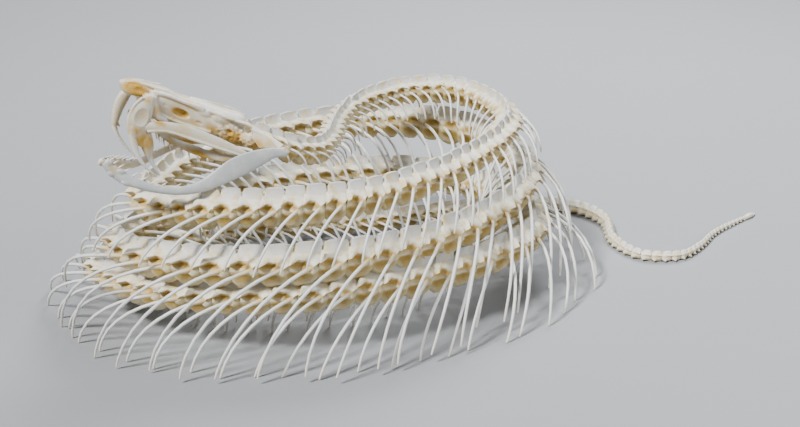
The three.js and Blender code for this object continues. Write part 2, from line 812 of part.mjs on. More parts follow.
// ---------------------------------------------------------------- assembly
const group = new THREE.Group();
group.position.copy(FRAME_SHIFT);

const vertebrae = layVertebrae();
const ribbed = vertebrae.filter((v) => v.share < TRUNK_SHARE).length;
const ribs = settleRibs(vertebrae, ribbed);

const lengthCount = Math.round(ribbed / VERTEBRAE_PER_LENGTH);
for (let n = 0; n < lengthCount; n += 1) {
  const first = Math.round((n * ribbed) / lengthCount);
  const last = Math.round(((n + 1) * ribbed) / lengthCount) - 1;
  const title = n === 0 ? "neck" : `trunk_${n}`;
  SIDES.forEach(({ word, side }) => {
    const body = buildHalfLength(vertebrae, first, last, side, ribs);
    group.add(mesh(`${title}_${word}`, body.geometry(), BONE));
  });
}

for (let n = 0; n < TAIL.lengths; n += 1) {
  const count = vertebrae.length - ribbed;
  const first = ribbed + Math.round((n * count) / TAIL.lengths);
  const last = ribbed + Math.round(((n + 1) * count) / TAIL.lengths) - 1;
  group.add(mesh(`tail_${n + 1}`, buildTailLength(vertebrae, first, last).geometry(), BONE));
}

group.add(buildSkull());

export default group;
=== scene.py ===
import logging
import math
from dataclasses import dataclass, field
from enum import Enum

import bmesh
import bpy
import numpy as np
from mathutils import Matrix, Vector


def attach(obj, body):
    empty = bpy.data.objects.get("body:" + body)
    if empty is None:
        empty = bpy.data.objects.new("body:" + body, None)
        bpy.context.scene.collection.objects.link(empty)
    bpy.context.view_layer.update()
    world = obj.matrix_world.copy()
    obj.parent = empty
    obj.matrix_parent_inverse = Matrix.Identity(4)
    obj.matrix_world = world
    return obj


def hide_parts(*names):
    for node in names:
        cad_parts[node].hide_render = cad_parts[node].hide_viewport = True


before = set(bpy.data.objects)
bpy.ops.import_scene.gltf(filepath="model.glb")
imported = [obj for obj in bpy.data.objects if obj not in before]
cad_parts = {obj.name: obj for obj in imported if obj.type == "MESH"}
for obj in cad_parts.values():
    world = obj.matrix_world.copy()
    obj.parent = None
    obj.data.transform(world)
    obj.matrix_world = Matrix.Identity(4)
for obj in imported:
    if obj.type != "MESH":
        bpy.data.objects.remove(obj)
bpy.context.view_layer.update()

LOG = logging.getLogger("viper_skeleton")

Socket = bpy.types.NodeSocket
Piece = bpy.types.Object
Material = bpy.types.Material
Triple = tuple[float, float, float]

MM = 0.001
UP = np.array([0.0, 0.0, 1.0])
BODY = "root"
FRAME_SHIFT = np.array([-9.95, 0.22, 0.0])  # mm, from the coil's own origin to the frame's
VERTEBRAE_PER_LENGTH = 10
TRUNK_SHARE = 0.888  # share of the backbone that carries ribs; the rest is the tail
CLOUD_SPAN = (0.3, 0.7)  # where most of a cloudy pattern's values lie


class Side(Enum):
    """A side of the snake, with the sign of its way across."""

    LEFT = 1
    RIGHT = -1

    @property
    def word(self) -> str:
        """The side's name as nodes and pieces spell it."""
        return self.name.lower()


# ---------------------------------------------------------------- small sums
def unit(vector: np.ndarray) -> np.ndarray:
    """Returns the vector at a length of one."""
    return vector / np.linalg.norm(vector)


def square_to(tailward: np.ndarray) -> tuple[np.ndarray, np.ndarray]:
    """Returns the ways to the snake's left and up, square to its way to the tail."""
    left = unit(np.cross(tailward, UP))
    return left, unit(np.cross(left, tailward))


def round_half_up(value: float) -> int:
    """Returns the nearest whole number, with halves going up."""
    return math.floor(value + 0.5)


def mix(a: float, b: float, share: float) -> float:
    """Returns the value a share of the way from a to b."""
    return a + (b - a) * share


def turns(corners: int) -> np.ndarray:
    """Returns the angles of evenly spaced corners round a full turn."""
    return np.arange(corners) * 2 * math.pi / corners


def oval(middle: np.ndarray, across: np.ndarray, wide: float, over: np.ndarray, high: float, corners: int) -> list:
    """Returns an oval ring of corners, wide along one way and high along the other."""
    return [middle + across * wide * math.cos(a) + over * high * math.sin(a) for a in turns(corners)]


def in_frame(points: list) -> np.ndarray:
    """Returns points of the coil, in its own millimetres, as places in the frame, in metres."""
    return (np.array(points) + FRAME_SHIFT) * MM


def padded(rows: np.ndarray) -> np.ndarray:
    """Returns rows with one more at each end, as far on as the last step."""
    return np.vstack([2 * rows[0] - rows[1], rows, 2 * rows[-1] - rows[-2]])


def smooth_rows(rows: tuple, steps: int) -> np.ndarray:
    """Returns rows on a smooth curve through the given ones.

    Args:
        rows: The rows of numbers to pass through.
        steps: Rows made between each two.

    Returns:
        The denser rows.
    """
    known = np.array(rows, float)
    wider = padded(known)
    dense = []
    for i in range(len(known) - 1):
        a, b, c, d = wider[i:i + 4]
        for step in range(steps):
            t = step / steps
            dense.append(0.5 * (2 * b + (c - a) * t + (2 * a - 5 * b + 4 * c - d) * t ** 2
                                + (3 * b - a - 3 * c + d) * t ** 3))
    dense.append(known[-1])
    return np.array(dense)


# ---------------------------------------------------------------- node trees
class Wiring:
    """A node tree, with short calls that add nodes and wire or set their inputs."""

    def __init__(self, tree: bpy.types.NodeTree) -> None:
        """Takes the tree that nodes are added to."""
        self.tree = tree

    def feed(self, socket: Socket, value: object) -> None:
        """Wires a socket to another, or sets its value.

        Args:
            socket: The input.
            value: An output to wire to it, or a plain value.
        """
        if isinstance(value, Socket):
            self.tree.links.new(value, socket)
        else:
            socket.default_value = value

    def node(self, kind: str, settings: dict | None = None, **wired: object) -> bpy.types.Node:
        """Adds a node and wires or sets its inputs.

        Args:
            kind: Blender's node type.
            settings: The node's own settings.
            wired: Inputs by name, with _ for a space, each a socket or a plain value.

        Returns:
            The node.
        """
        node = self.tree.nodes.new(kind)
        for name, value in (settings or {}).items():
            setattr(node, name, value)
        for name, value in wired.items():
            self.feed(node.inputs[name.replace("_", " ")], value)
        return node

    def sum(self, operation: str, *values: object) -> Socket:
        """Returns the outcome of one of Blender's Math operations.

        Args:
            operation: Its name.
            values: What it works on, each a socket or a number.

        Returns:
            The outcome.
        """
        node = self.node("ShaderNodeMath", {"operation": operation})
        for socket, value in zip(node.inputs, values):
            self.feed(socket, value)
        return node.outputs[0]


class Recipe(Wiring):
    """A Geometry Nodes tree with named inputs, run once on a mesh and then removed."""

    def __init__(self, name: str, **inputs: str) -> None:
        """Starts the tree with a geometry socket at each end.

        Args:
            name: The tree's name.
            inputs: Each named input with Blender's word for what it holds.
        """
        super().__init__(bpy.data.node_groups.new(name, "GeometryNodeTree"))
        sockets = self.tree.interface
        sockets.new_socket("Geometry", in_out="INPUT", socket_type="NodeSocketGeometry")
        sockets.new_socket("Geometry", in_out="OUTPUT", socket_type="NodeSocketGeometry")
        self.identifiers = {
            word: sockets.new_socket(word, in_out="INPUT", socket_type=f"NodeSocket{kind}").identifier
            for word, kind in inputs.items()}
        self.entry = self.node("NodeGroupInput")
        self.exit = self.node("NodeGroupOutput")

    def given(self, name: str) -> Socket:
        """Returns a named input's socket inside the tree."""
        return self.entry.outputs[name]

    def painted(self, name: str, kind: str = "FLOAT_VECTOR") -> Socket:
        """Returns a value painted on the input mesh, of Blender's data type kind."""
        return self.node("GeometryNodeInputNamedAttribute", {"data_type": kind}, Name=name).outputs["Attribute"]

    def close(self, geometry: Socket) -> None:
        """Ends the tree in Realize Instances and Set Material, with the input named Finish.

        Args:
            geometry: What the tree has made.
        """
        solid = self.node("GeometryNodeRealizeInstances", Geometry=geometry)
        dressed = self.node("GeometryNodeSetMaterial", Geometry=solid.outputs[0], Material=self.given("Finish"))
        self.feed(self.exit.inputs["Geometry"], dressed.outputs[0])

    def set_on_points(self, thing: str, **placing: Socket) -> None:
        """Sets an object on every point of the input mesh and closes the tree.

        Args:
            thing: The named input that holds the object.
            placing: Its rotation and scale on each point.
        """
        shape = self.node("GeometryNodeObjectInfo", Object=self.given(thing))
        placed = self.node("GeometryNodeInstanceOnPoints", Points=self.given("Geometry"),
                           Instance=shape.outputs["Geometry"], **placing)
        self.close(placed.outputs[0])

    def run(self, piece: Piece, **values: object) -> None:
        """Runs the tree on a piece and leaves it a plain mesh.

        Args:
            piece: The object whose mesh feeds the tree, and then holds its result.
            values: The named inputs' values.
        """
        modifier = piece.modifiers.new(self.tree.name, "NODES")
        modifier.node_group = self.tree
        for name, value in values.items():
            modifier[self.identifiers[name]] = value
        bake_modifiers(piece)


# ---------------------------------------------------------------- finishes
class Shader(Wiring):
    """Builds one material's nodes, with short calls for what the finishes share."""

    glow_colour = (1.0, 0.72, 0.5)  # how far red, green and blue light pass, in shares
    gloss = 0.42

    def __init__(self, name: str) -> None:
        """Starts a material with a Principled shader.

        Args:
            name: Its name.
        """
        self.material = bpy.data.materials.new(name)
        self.material.use_nodes = True
        super().__init__(self.material.node_tree)
        self.surface = self.tree.nodes["Principled BSDF"]
        self.place = self.node("ShaderNodeTexCoord").outputs["Object"]

    def attribute(self, name: str) -> Socket:
        """Returns a number painted on the mesh by that name."""
        return self.node("ShaderNodeAttribute", {"attribute_name": name}).outputs["Fac"]

    def noise(self, per_mm: float, detail: float = 3.0, rough: float = 0.55) -> Socket:
        """Returns a cloudy pattern near 0.5, with its clouds to the millimetre and their octaves' strength."""
        return self.node("ShaderNodeTexNoise", Vector=self.place, Scale=per_mm / MM, Detail=detail,
                         Roughness=rough).outputs["Fac"]

    def cells(self, per_mm: float) -> Socket:
        """Returns the distance to the nearest of scattered points, that many to the millimetre."""
        return self.node("ShaderNodeTexVoronoi", Vector=self.place, Scale=per_mm / MM).outputs["Distance"]

    def between(self, value: Socket, low: float, high: float, to_low: float = 0.0, to_high: float = 1.0) -> Socket:
        """Spreads the values from low to high over a new range, and holds them inside it."""
        return self.node("ShaderNodeMapRange", Value=value, From_Min=low, From_Max=high, To_Min=to_low,
                         To_Max=to_high).outputs["Result"]

    def blend(self, share: Socket, a: object, b: object) -> Socket:
        """Mixes two colours by a pattern.

        Args:
            share: 0 for the first colour, 1 for the second.
            a: First colour, as numbers or a socket.
            b: Second colour, as numbers or a socket.

        Returns:
            The mixed colour.
        """
        node = self.node("ShaderNodeMix", {"data_type": "RGBA"}, Factor=share)
        for colour, socket in ((a, node.inputs[6]), (b, node.inputs[7])):
            self.feed(socket, colour if isinstance(colour, Socket) else (*colour, 1.0))
        return node.outputs[2]

    def bump(self, height: Socket, depth_mm: float, strength: float) -> None:
        """Raises the surface by a pattern, so deep and with that share of it showing."""
        node = self.node("ShaderNodeBump", Height=height, Distance=depth_mm * MM, Strength=strength)
        self.feed(self.surface.inputs["Normal"], node.outputs["Normal"])

    def finish(self, colour: Socket, roughness: Socket, glow: float, glow_mm: float) -> Material:
        """Closes the material.

        Args:
            colour: The surface colour.
            roughness: Its roughness.
            glow: How much light passes under the surface.
            glow_mm: How far it passes.

        Returns:
            The finished material.
        """
        for name, value in (("Base Color", colour), ("Roughness", roughness), ("Subsurface Weight", glow),
                            ("Subsurface Radius", self.glow_colour), ("Subsurface Scale", glow_mm * MM),
                            ("Specular IOR Level", self.gloss)):
            self.feed(self.surface.inputs[name], value)
        return self.material


@dataclass(frozen=True)
class BoneFinish:
    """Dry bone: grey-white on its crown, pale on its swells, stained in its hollows, finely pitted. Where "rise" is
    painted from a bone's slope and swell, this paleness is painted light from above and painted highlights on ridges.
    """

    name: str
    crown: Triple
    pale: Triple
    warm: Triple
    stain: Triple
    deep: Triple
    roughness: tuple[float, float] = (0.28, 0.56)
    glow: float = 0.16
    glow_mm: float = 0.9
    grain_mm: float = 0.05
    cloud_per_mm: float = 0.22
    speckle_per_mm: float = 2.6
    mottle: float = 0.45
    dimple_per_mm: float = 0.9
    # Where each change of colour starts and where it is full, along what is painted or a pattern.
    pale_over: tuple = (0.15, 0.6)
    crown_over: tuple = (0.68, 1.0)
    mottle_over: tuple = (0.48, 0.66)
    stain_over: tuple = (0.12, 0.8)
    stain_cloud: tuple = (0.25, 0.5, 0.6, 1.0)
    deep_over: tuple = (0.48, 0.78)
    pits_per_mm: float = 0.55
    pit_over: tuple = (0.05, 0.11, 1.0, 0.0)
    pit_patches_per_mm: float = 0.35
    pit_patch: tuple = (0.55, 0.66, 0.0, 0.6)

    def make(self) -> Material:
        """Makes the material.

        Returns:
            The material, which reads the painted "hollow" and "rise".
        """
        shader = Shader(self.name)
        cloud = shader.noise(self.cloud_per_mm, detail=4.0)
        fine = shader.noise(self.speckle_per_mm, detail=4.0, rough=0.65)
        rise, hollow = shader.attribute("rise"), shader.attribute("hollow")
        swell = shader.blend(shader.between(rise, *self.pale_over), self.warm, self.pale)
        base = shader.blend(shader.between(rise, *self.crown_over), swell, self.crown)
        mottled = shader.blend(shader.between(cloud, *self.mottle_over, 0.0, self.mottle), base, self.warm)
        stained = shader.sum("MULTIPLY", shader.between(hollow, *self.stain_over),
                             shader.between(cloud, *self.stain_cloud))
        amber = shader.blend(shader.between(fine, *self.deep_over), self.stain, self.deep)
        coloured = shader.blend(stained, mottled, amber)
        pits = shader.between(shader.cells(self.pits_per_mm), *self.pit_over)
        patches = shader.between(shader.noise(self.pit_patches_per_mm, detail=2.0), *self.pit_patch)
        spotted = shader.blend(shader.sum("MULTIPLY", pits, patches), coloured, self.deep)
        dimples = shader.sum("MULTIPLY", fine, shader.noise(self.dimple_per_mm, detail=2.0))
        shader.bump(dimples, depth_mm=3 * self.grain_mm, strength=0.8)
        return shader.finish(spotted, shader.between(fine, *CLOUD_SPAN, *self.roughness), self.glow, self.glow_mm)


@dataclass(frozen=True)
class RodFinish:
    """Smooth bone or ivory that changes along its run, with a faint cloud in it.

    Each change is a colour with where along the run it starts and where it is full.
    """

    name: str
    first: Triple
    changes: tuple
    cloud_per_mm: float
    streak_over: tuple
    roughness: tuple
    bump_mm: float
    bump_strength: float
    glow: float
    glow_mm: float

    def make(self) -> Material:
        """Makes the material.

        Returns:
            The material, which reads the painted "share" of the run.
        """
        shader = Shader(self.name)
        share = shader.attribute("share")
        cloud = shader.noise(self.cloud_per_mm)
        body = self.first
        for colour, start, full in self.changes:
            body = shader.blend(shader.between(share, start, full), body, colour)
        streaked = shader.blend(shader.between(cloud, *self.streak_over), body, self.first)
        shader.bump(cloud, self.bump_mm, self.bump_strength)
        return shader.finish(streaked, shader.between(cloud, *CLOUD_SPAN, *self.roughness), self.glow, self.glow_mm)


@dataclass(frozen=True)
class FloorFinish:
    """A plain pale studio floor, matt with the faintest cloud in it."""

    name: str = "studio_floor"
    tone: Triple = (0.32, 0.33, 0.35)
    other: Triple = (0.34, 0.35, 0.37)
    cloud_per_mm: float = 0.004
    roughness: tuple[float, float] = (0.72, 0.8)

    def make(self) -> Material:
        """Makes the material.

        Returns:
            The material.
        """
        shader = Shader(self.name)
        cloud = shader.noise(self.cloud_per_mm, detail=2.0)
        colour = shader.blend(cloud, self.tone, self.other)
        return shader.finish(colour, shader.between(cloud, *CLOUD_SPAN, *self.roughness), glow=0.0, glow_mm=1.0)


class Finishes:
    """Every material of the skeleton, made once."""

    def __init__(self) -> None:
        """Makes the materials."""
        self.spine = BoneFinish(
            name="backbone_bone", crown=(0.585, 0.59, 0.59), pale=(0.78, 0.75, 0.655), warm=(0.69, 0.565, 0.275),
            stain=(0.57, 0.405, 0.135), deep=(0.38, 0.22, 0.055), mottle=0.7, cloud_per_mm=0.42, grain_mm=0.09).make()
        self.skull = BoneFinish(
            name="skull_bone", crown=(0.66, 0.67, 0.68), pale=(0.68, 0.66, 0.6), warm=(0.66, 0.53, 0.3),
            stain=(0.57, 0.37, 0.095), deep=(0.33, 0.135, 0.024), cloud_per_mm=0.34, grain_mm=0.05,
            mottle=0.75).make()
        self.jaw = BoneFinish(
            name="jaw_bone", crown=(0.69, 0.7, 0.7), pale=(0.47, 0.495, 0.51), warm=(0.58, 0.59, 0.56),
            stain=(0.62, 0.47, 0.2), deep=(0.4, 0.22, 0.06),
            roughness=(0.24, 0.4), glow=0.22, grain_mm=0.035, mottle=0.7, cloud_per_mm=0.4).make()
        self.rib = RodFinish(
            name="rib_bone", first=(0.66, 0.53, 0.31),
            changes=(((0.72, 0.73, 0.72), 0.02, 0.16), ((0.74, 0.71, 0.64), 0.8, 1.0)),
            cloud_per_mm=1.6, streak_over=(0.56, 0.75, 0.0, 0.4), roughness=(0.32, 0.5),
            bump_mm=0.04, bump_strength=0.5, glow=0.2, glow_mm=0.6).make()
        self.tooth = RodFinish(
            name="fang_ivory", first=(0.7, 0.6, 0.39), changes=(((0.8, 0.79, 0.75), 0.0, 0.45),),
            cloud_per_mm=0.9, streak_over=(0.55, 0.72, 0.0, 0.35), roughness=(0.2, 0.34),
            bump_mm=0.02, bump_strength=0.4, glow=0.28, glow_mm=1.1).make()


# ---------------------------------------------------------------- meshes
def bake_modifiers(piece: Piece) -> None:
    """Turns a piece's modifiers into its mesh.

    Args:
        piece: The object with modifiers.
    """
    bpy.context.view_layer.update()
    ready = piece.evaluated_get(bpy.context.evaluated_depsgraph_get())
    made = bpy.data.meshes.new_from_object(ready)
    piece.modifiers.clear()
    piece.data = made


def new_piece(name: str, points: list, faces: list, edges: tuple = ()) -> Piece:
    """Makes an object from plain lists, linked to the scene.

    Args:
        name: The object's name.
        points: Its corners.
        faces: Rows of corners.
        edges: Pairs of corners, where it has loose edges.

    Returns:
        The object.
    """
    mesh = bpy.data.meshes.new(name)
    mesh.from_pydata([tuple(p) for p in points], list(edges), faces)
    piece = bpy.data.objects.new(name, mesh)
    bpy.context.scene.collection.objects.link(piece)
    return piece


def paint(piece: Piece, name: str, values: np.ndarray, kind: str = "FLOAT") -> None:
    """Stores a value of Blender's data type kind for every corner of a piece's mesh."""
    layer = piece.data.attributes.new(name, kind, "POINT")
    layer.data.foreach_set("vector" if kind == "FLOAT_VECTOR" else "value", np.asarray(values, float).ravel())


def read(rows: bpy.types.bpy_prop_collection, name: str, across: int = 3, kind: type = float) -> np.ndarray:
    """Reads a value from every corner or edge of a mesh.

    Args:
        rows: The mesh's corners or edges.
        name: Blender's name for the value.
        across: How many numbers each has.
        kind: Their type.

    Returns:
        The numbers, a row for each corner or edge.
    """
    flat = np.zeros(len(rows) * across, kind)
    rows.foreach_get(name, flat)
    return flat.reshape(-1, across)


def square_up(piece: Piece) -> None:
    """Turns every face of a closed piece outwards.

    Args:
        piece: The object.
    """
    form = bmesh.new()
    form.from_mesh(piece.data)
    bmesh.ops.recalc_face_normals(form, faces=form.faces)
    form.to_mesh(piece.data)
    form.free()


def sleeve(first: int, rings: int, corners: int) -> list:
    """Returns the faces between rings of corners that follow each other from a first corner."""
    return [(here + k, here + (k + 1) % corners, here + corners + (k + 1) % corners, here + corners + k)
            for here in range(first, first + (rings - 1) * corners, corners) for k in range(corners)]


def hand_over(piece: Piece, nodes: list[str]) -> None:
    """Rides a finished piece on the frame and says what it stands for.

    Args:
        piece: The piece, in metres in the frame's place.
        nodes: The frame's nodes that it replaces.
    """
    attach(piece, BODY)
    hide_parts(*nodes)
    LOG.info("%s: %d faces, stands for %s", piece.name, len(piece.data.polygons), ", ".join(nodes))


# ---------------------------------------------------------------- the backbone's line
@dataclass(frozen=True)
class Vertebra:
    """One vertebra's place along the backbone and its sizes, in millimetres."""

    start: float
    share: float
    pitch: float
    height: float
    rib: float


@dataclass
class Backbone:
    """The centreline of the whole snake, from the skull to the tail's tip, in millimetres."""

    neck: tuple = (
        (-45.4, -29.7, 61.2), (-39.5, -27.2, 57.8), (-33, -23.8, 54.4), (-25.5, -14, 51),
        (-22.6, 2, 50), (-20.8, 17.6, 50.8), (-13.5, 37.5, 51.9))
    upper_turn: tuple = (
        (2, 49.8, 53), (20, 50.5, 52.9), (33, 36.5, 51), (36.3, 20.5, 49.2),
        (26.5, -5, 47.8), (7, -30.5, 46.6), (-18, -47.3, 45.5), (-47, -49.5, 44.1),
        (-69.3, -43, 42.2), (-78.3, -32, 40.8), (-76.1, -14.8, 40.8), (-66.5, 13, 40.4))
    middle_turn: tuple = (
        (-47, 40, 39.7), (-20, 57.5, 39), (11, 61, 38), (32, 50.5, 35.3),
        (42.3, 26, 32.6), (39.8, 5.1, 31), (19, -29, 29.8), (-10, -50.8, 29.7),
        (-35.1, -58.1, 29.7), (-63, -55, 28.8), (-82, -41.5, 27.3), (-87.3, -28, 25.9),
        (-80, -6, 24.7), (-62, 21, 24.2))
    lower_turn: tuple = (
        (-35.5, 39.1, 23.8), (0, 51.7, 21.8), (24, 46, 20), (41.6, 24.5, 18.8),
        (44.9, 2.6, 18.5), (28.4, -24.3, 19.1), (0, -46.3, 19.8), (-29.6, -56.5, 19.8),
        (-60, -53.5, 18), (-84, -38, 15.6), (-97, -16, 12.6), (-93, 8, 10),
        (-66, 27, 7.4), (-35, 40.5, 5.6), (-5, 48.3, 5), (24, 60, 4.9), (50, 71, 4.2))
    tail: tuple = (
        (66, 68, 3.4), (75.5, 55, 3), (76.2, 35, 2.6), (84, 20.5, 2.2),
        (97, 20, 1.9), (106, 30, 1.6), (114, 44, 1.3), (133.7, 65.9, 1))
    steps_per_station: int = 24
    bearing_span: float = 3.0
    # Share of the backbone, then pitch, height and rib length there.
    growth: tuple = (
        (0.0, 4.9, 8.4, 7), (0.06, 5.0, 9.2, 11), (0.13, 5.3, 10.4, 18), (0.22, 6.9, 12.2, 25),
        (0.35, 7.9, 12, 35), (0.46, 8.4, 12, 41), (0.64, 8.5, 11.6, 36), (0.76, 8.2, 10.6, 29),
        (0.84, 6.4, 8.2, 18), (0.9, 4.5, 6, 8), (0.95, 3.5, 4, 0), (1.0, 2.4, 1.6, 0))
    vertebrae: list = field(default_factory=list)

    def __post_init__(self) -> None:
        """Draws the line and lays every vertebra along it."""
        stations = np.array(self.neck + self.upper_turn + self.middle_turn + self.lower_turn + self.tail, float)
        self.points = self._smooth(stations)
        gaps = np.linalg.norm(np.diff(self.points, axis=0), axis=1)
        self.reach = np.concatenate([[0.0], np.cumsum(gaps)])
        self.length = float(self.reach[-1])
        self._lay()
        self.ribbed = sum(1 for v in self.vertebrae if v.share < TRUNK_SHARE)

    def _smooth(self, stations: np.ndarray) -> np.ndarray:
        """Draws a centripetal curve.

        Args:
            stations: The points that it passes.

        Returns:
            Points along it.
        """
        wider = padded(stations)
        rows = []
        for i in range(len(stations) - 1):
            p0, p1, p2, p3 = wider[i:i + 4]
            d0, d1, d2 = (math.sqrt(np.linalg.norm(b - a)) for a, b in ((p0, p1), (p1, p2), (p2, p3)))
            m1 = ((p1 - p0) / d0 - (p2 - p0) / (d0 + d1) + (p2 - p1) / d1) * d1
            m2 = ((p2 - p1) / d1 - (p3 - p1) / (d1 + d2) + (p3 - p2) / d2) * d1
            for step in range(self.steps_per_station):
                t = step / self.steps_per_station
                cubic = (2 * p1 - 2 * p2 + m1 + m2) * t ** 3 + (3 * p2 - 3 * p1 - 2 * m1 - m2) * t ** 2
                rows.append(cubic + m1 * t + p1)
        rows.append(stations[-1])
        return np.array(rows)

    def _lay(self) -> None:
        """Lays vertebrae from the skull until the last whole one before the tip."""
        start = 0.0
        while start < self.length - 2 * self.growth[-1][1]:
            share = start / self.length
            vertebra = Vertebra(start, share, *self.sizes_at(share))
            self.vertebrae.append(vertebra)
            start += vertebra.pitch

    def sizes_at(self, share: float) -> Triple:
        """Returns the pitch, height and rib length at a share of the backbone."""
        table = np.array(self.growth)
        return tuple(float(np.interp(share, table[:, 0], table[:, k])) for k in (1, 2, 3))

    def at(self, distance: float) -> np.ndarray:
        """Returns the centreline's point at a distance from the skull."""
        return np.array([np.interp(distance, self.reach, self.points[:, k]) for k in range(3)])

    def heading(self, distance: float, span: float) -> np.ndarray:
        """Finds the way to the tail.

        Args:
            distance: How far from the skull.
            span: Length of the line that is looked along there.

        Returns:
            The way, a unit long.
        """
        back = max(distance - span / 2, 0.0)
        on = min(distance + span / 2, self.length)
        return unit(self.at(on) - self.at(back))

    def lengths(self) -> list[tuple[str, int, int]]:
        """Divides the ribbed part into lengths.

        Returns:
            Each length's name, its first vertebra and the one after its last.
        """
        count = round_half_up(self.ribbed / VERTEBRAE_PER_LENGTH)
        cuts = [round_half_up(n * self.ribbed / count) for n in range(count + 1)]
        return [("neck" if n == 0 else f"trunk_{n}", cuts[n], cuts[n + 1]) for n in range(count)]


# ---------------------------------------------------------------- vertebrae
@dataclass
class VertebraShape:
    """One vertebra drawn in shares of its pitch along the body and of its height across and up.

    Each ring runs from the spine's top down one side to the keel: where the ring is along the body,
    where its spine's top is, then across and up for the spine's top, the arch, its shoulder, the
    wing, the upper hollow, the rib's seat, the lower hollow, its rim and the keel.
    """

    name: str
    rings: tuple
    lean: tuple = (0,) * 9
    hollow_rings: tuple = (2, 3)
    sharp_angle: float = math.radians(66)
    # How stained each corner of a ring is, and how pale, from the spine's top to the keel.
    corner_stain: tuple = (0.0, 0.0, 0.1, 0.22, 1.0, 0.2, 1.0, 0.34, 0.3)
    corner_rise: tuple = (1.0, 0.86, 0.62, 0.7, 0.25, 0.55, 0.16, 0.42, 0.3)
    shallow_stain: float = 0.4

    def make(self) -> Piece:
        """Draws the vertebra.

        Returns:
            It as an object with "hollow" and "rise" painted on it.
        """
        points, hollow = [], []
        for index, (along, spine_along, *outline) in enumerate(self.rings):
            right = [(spine_along if k == 0 else along + self.lean[k], -y, z) for k, (y, z) in enumerate(outline)]
            points += right + [(x, -y, z) for x, y, z in reversed(right)]
            sunk = 1.0 if index in self.hollow_rings else self.shallow_stain
            one_side = [sunk * share for share in self.corner_stain]
            hollow += one_side + one_side[::-1]
        corners = 2 * len(self.corner_stain)
        faces = sleeve(0, len(self.rings), corners)
        for first, way in ((0, -1), (len(points) - corners, 1)):
            for k in range(len(self.corner_stain) - 1):
                far = first + corners - 1 - k
                faces.append((first + k, first + k + 1, far - 1, far)[::way])
        piece = new_piece(self.name, points, faces)
        square_up(piece)
        paint(piece, "hollow", hollow)
        paint(piece, "rise", np.tile(self.corner_rise + self.corner_rise[::-1], len(self.rings)))
        piece.data.shade_smooth()
        piece.data.set_sharp_from_angle(angle=self.sharp_angle)
        return piece


TRUNK_VERTEBRA = VertebraShape(
    name="trunk_vertebra",
    rings=(
        (0.28, 0.07, (0.02, 0.32), (0.06, 0.22), (0.15, 0.18), (0.24, 0.12), (0.23, 0.05), (0.25, -0.04),
         (0.2, -0.16), (0.15, -0.28), (0.05, -0.36)),
        (0.51, 0.12, (0.032, 0.47), (0.07, 0.26), (0.18, 0.22), (0.37, 0.1), (0.35, 0.03), (0.43, -0.05),
         (0.31, -0.17), (0.21, -0.33), (0.06, -0.46)),
        (0.77, 0.42, (0.036, 0.5), (0.08, 0.27), (0.12, 0.24), (0.22, 0.17), (0.16, 0.07), (0.28, -0.05),
         (0.14, -0.18), (0.2, -0.36), (0.05, -0.5)),
        (1.06, 0.74, (0.036, 0.5), (0.09, 0.29), (0.16, 0.28), (0.27, 0.21), (0.15, 0.08), (0.26, -0.04),
         (0.12, -0.18), (0.19, -0.37), (0.05, -0.49)),
        (1.34, 0.95, (0.034, 0.48), (0.12, 0.31), (0.33, 0.3), (0.43, 0.18), (0.25, 0.07), (0.24, -0.04),
         (0.18, -0.15), (0.13, -0.26), (0.03, -0.33)),
    ),
    lean=(0, -0.3, -0.2, -0.1, -0.02, 0, 0, 0, 0),
)
TAIL_VERTEBRA = VertebraShape(
    name="tail_vertebra",
    rings=(
        (0.0, 0.1, (0.06, 0.3), (0.13, 0.24), (0.2, 0.18), (0.26, 0.12), (0.24, 0.04), (0.28, -0.06),
         (0.26, -0.14), (0.2, -0.24), (0.1, -0.32)),
        (0.26, 0.26, (0.07, 0.46), (0.16, 0.3), (0.27, 0.22), (0.34, 0.12), (0.3, 0.02), (0.42, -0.14),
         (0.54, -0.3), (0.3, -0.38), (0.12, -0.44)),
        (0.6, 0.6, (0.07, 0.5), (0.16, 0.31), (0.21, 0.23), (0.27, 0.14), (0.18, 0.03), (0.21, -0.08),
         (0.23, -0.2), (0.2, -0.34), (0.08, -0.44)),
        (0.86, 0.86, (0.07, 0.48), (0.15, 0.31), (0.25, 0.23), (0.3, 0.14), (0.18, 0.03), (0.17, -0.07),
         (0.17, -0.17), (0.15, -0.3), (0.07, -0.4)),
        (1.03, 1.0, (0.05, 0.4), (0.1, 0.28), (0.19, 0.2), (0.26, 0.12), (0.15, 0.02), (0.14, -0.05),
         (0.14, -0.12), (0.11, -0.2), (0.06, -0.26)),
    ),
    corner_stain=(0.0, 0.0, 0.06, 0.06, 0.4, 0.2, 0.3, 0.2, 0.25),
    corner_rise=(0.9, 0.8, 0.66, 0.66, 0.5, 0.58, 0.5, 0.5, 0.4),
)


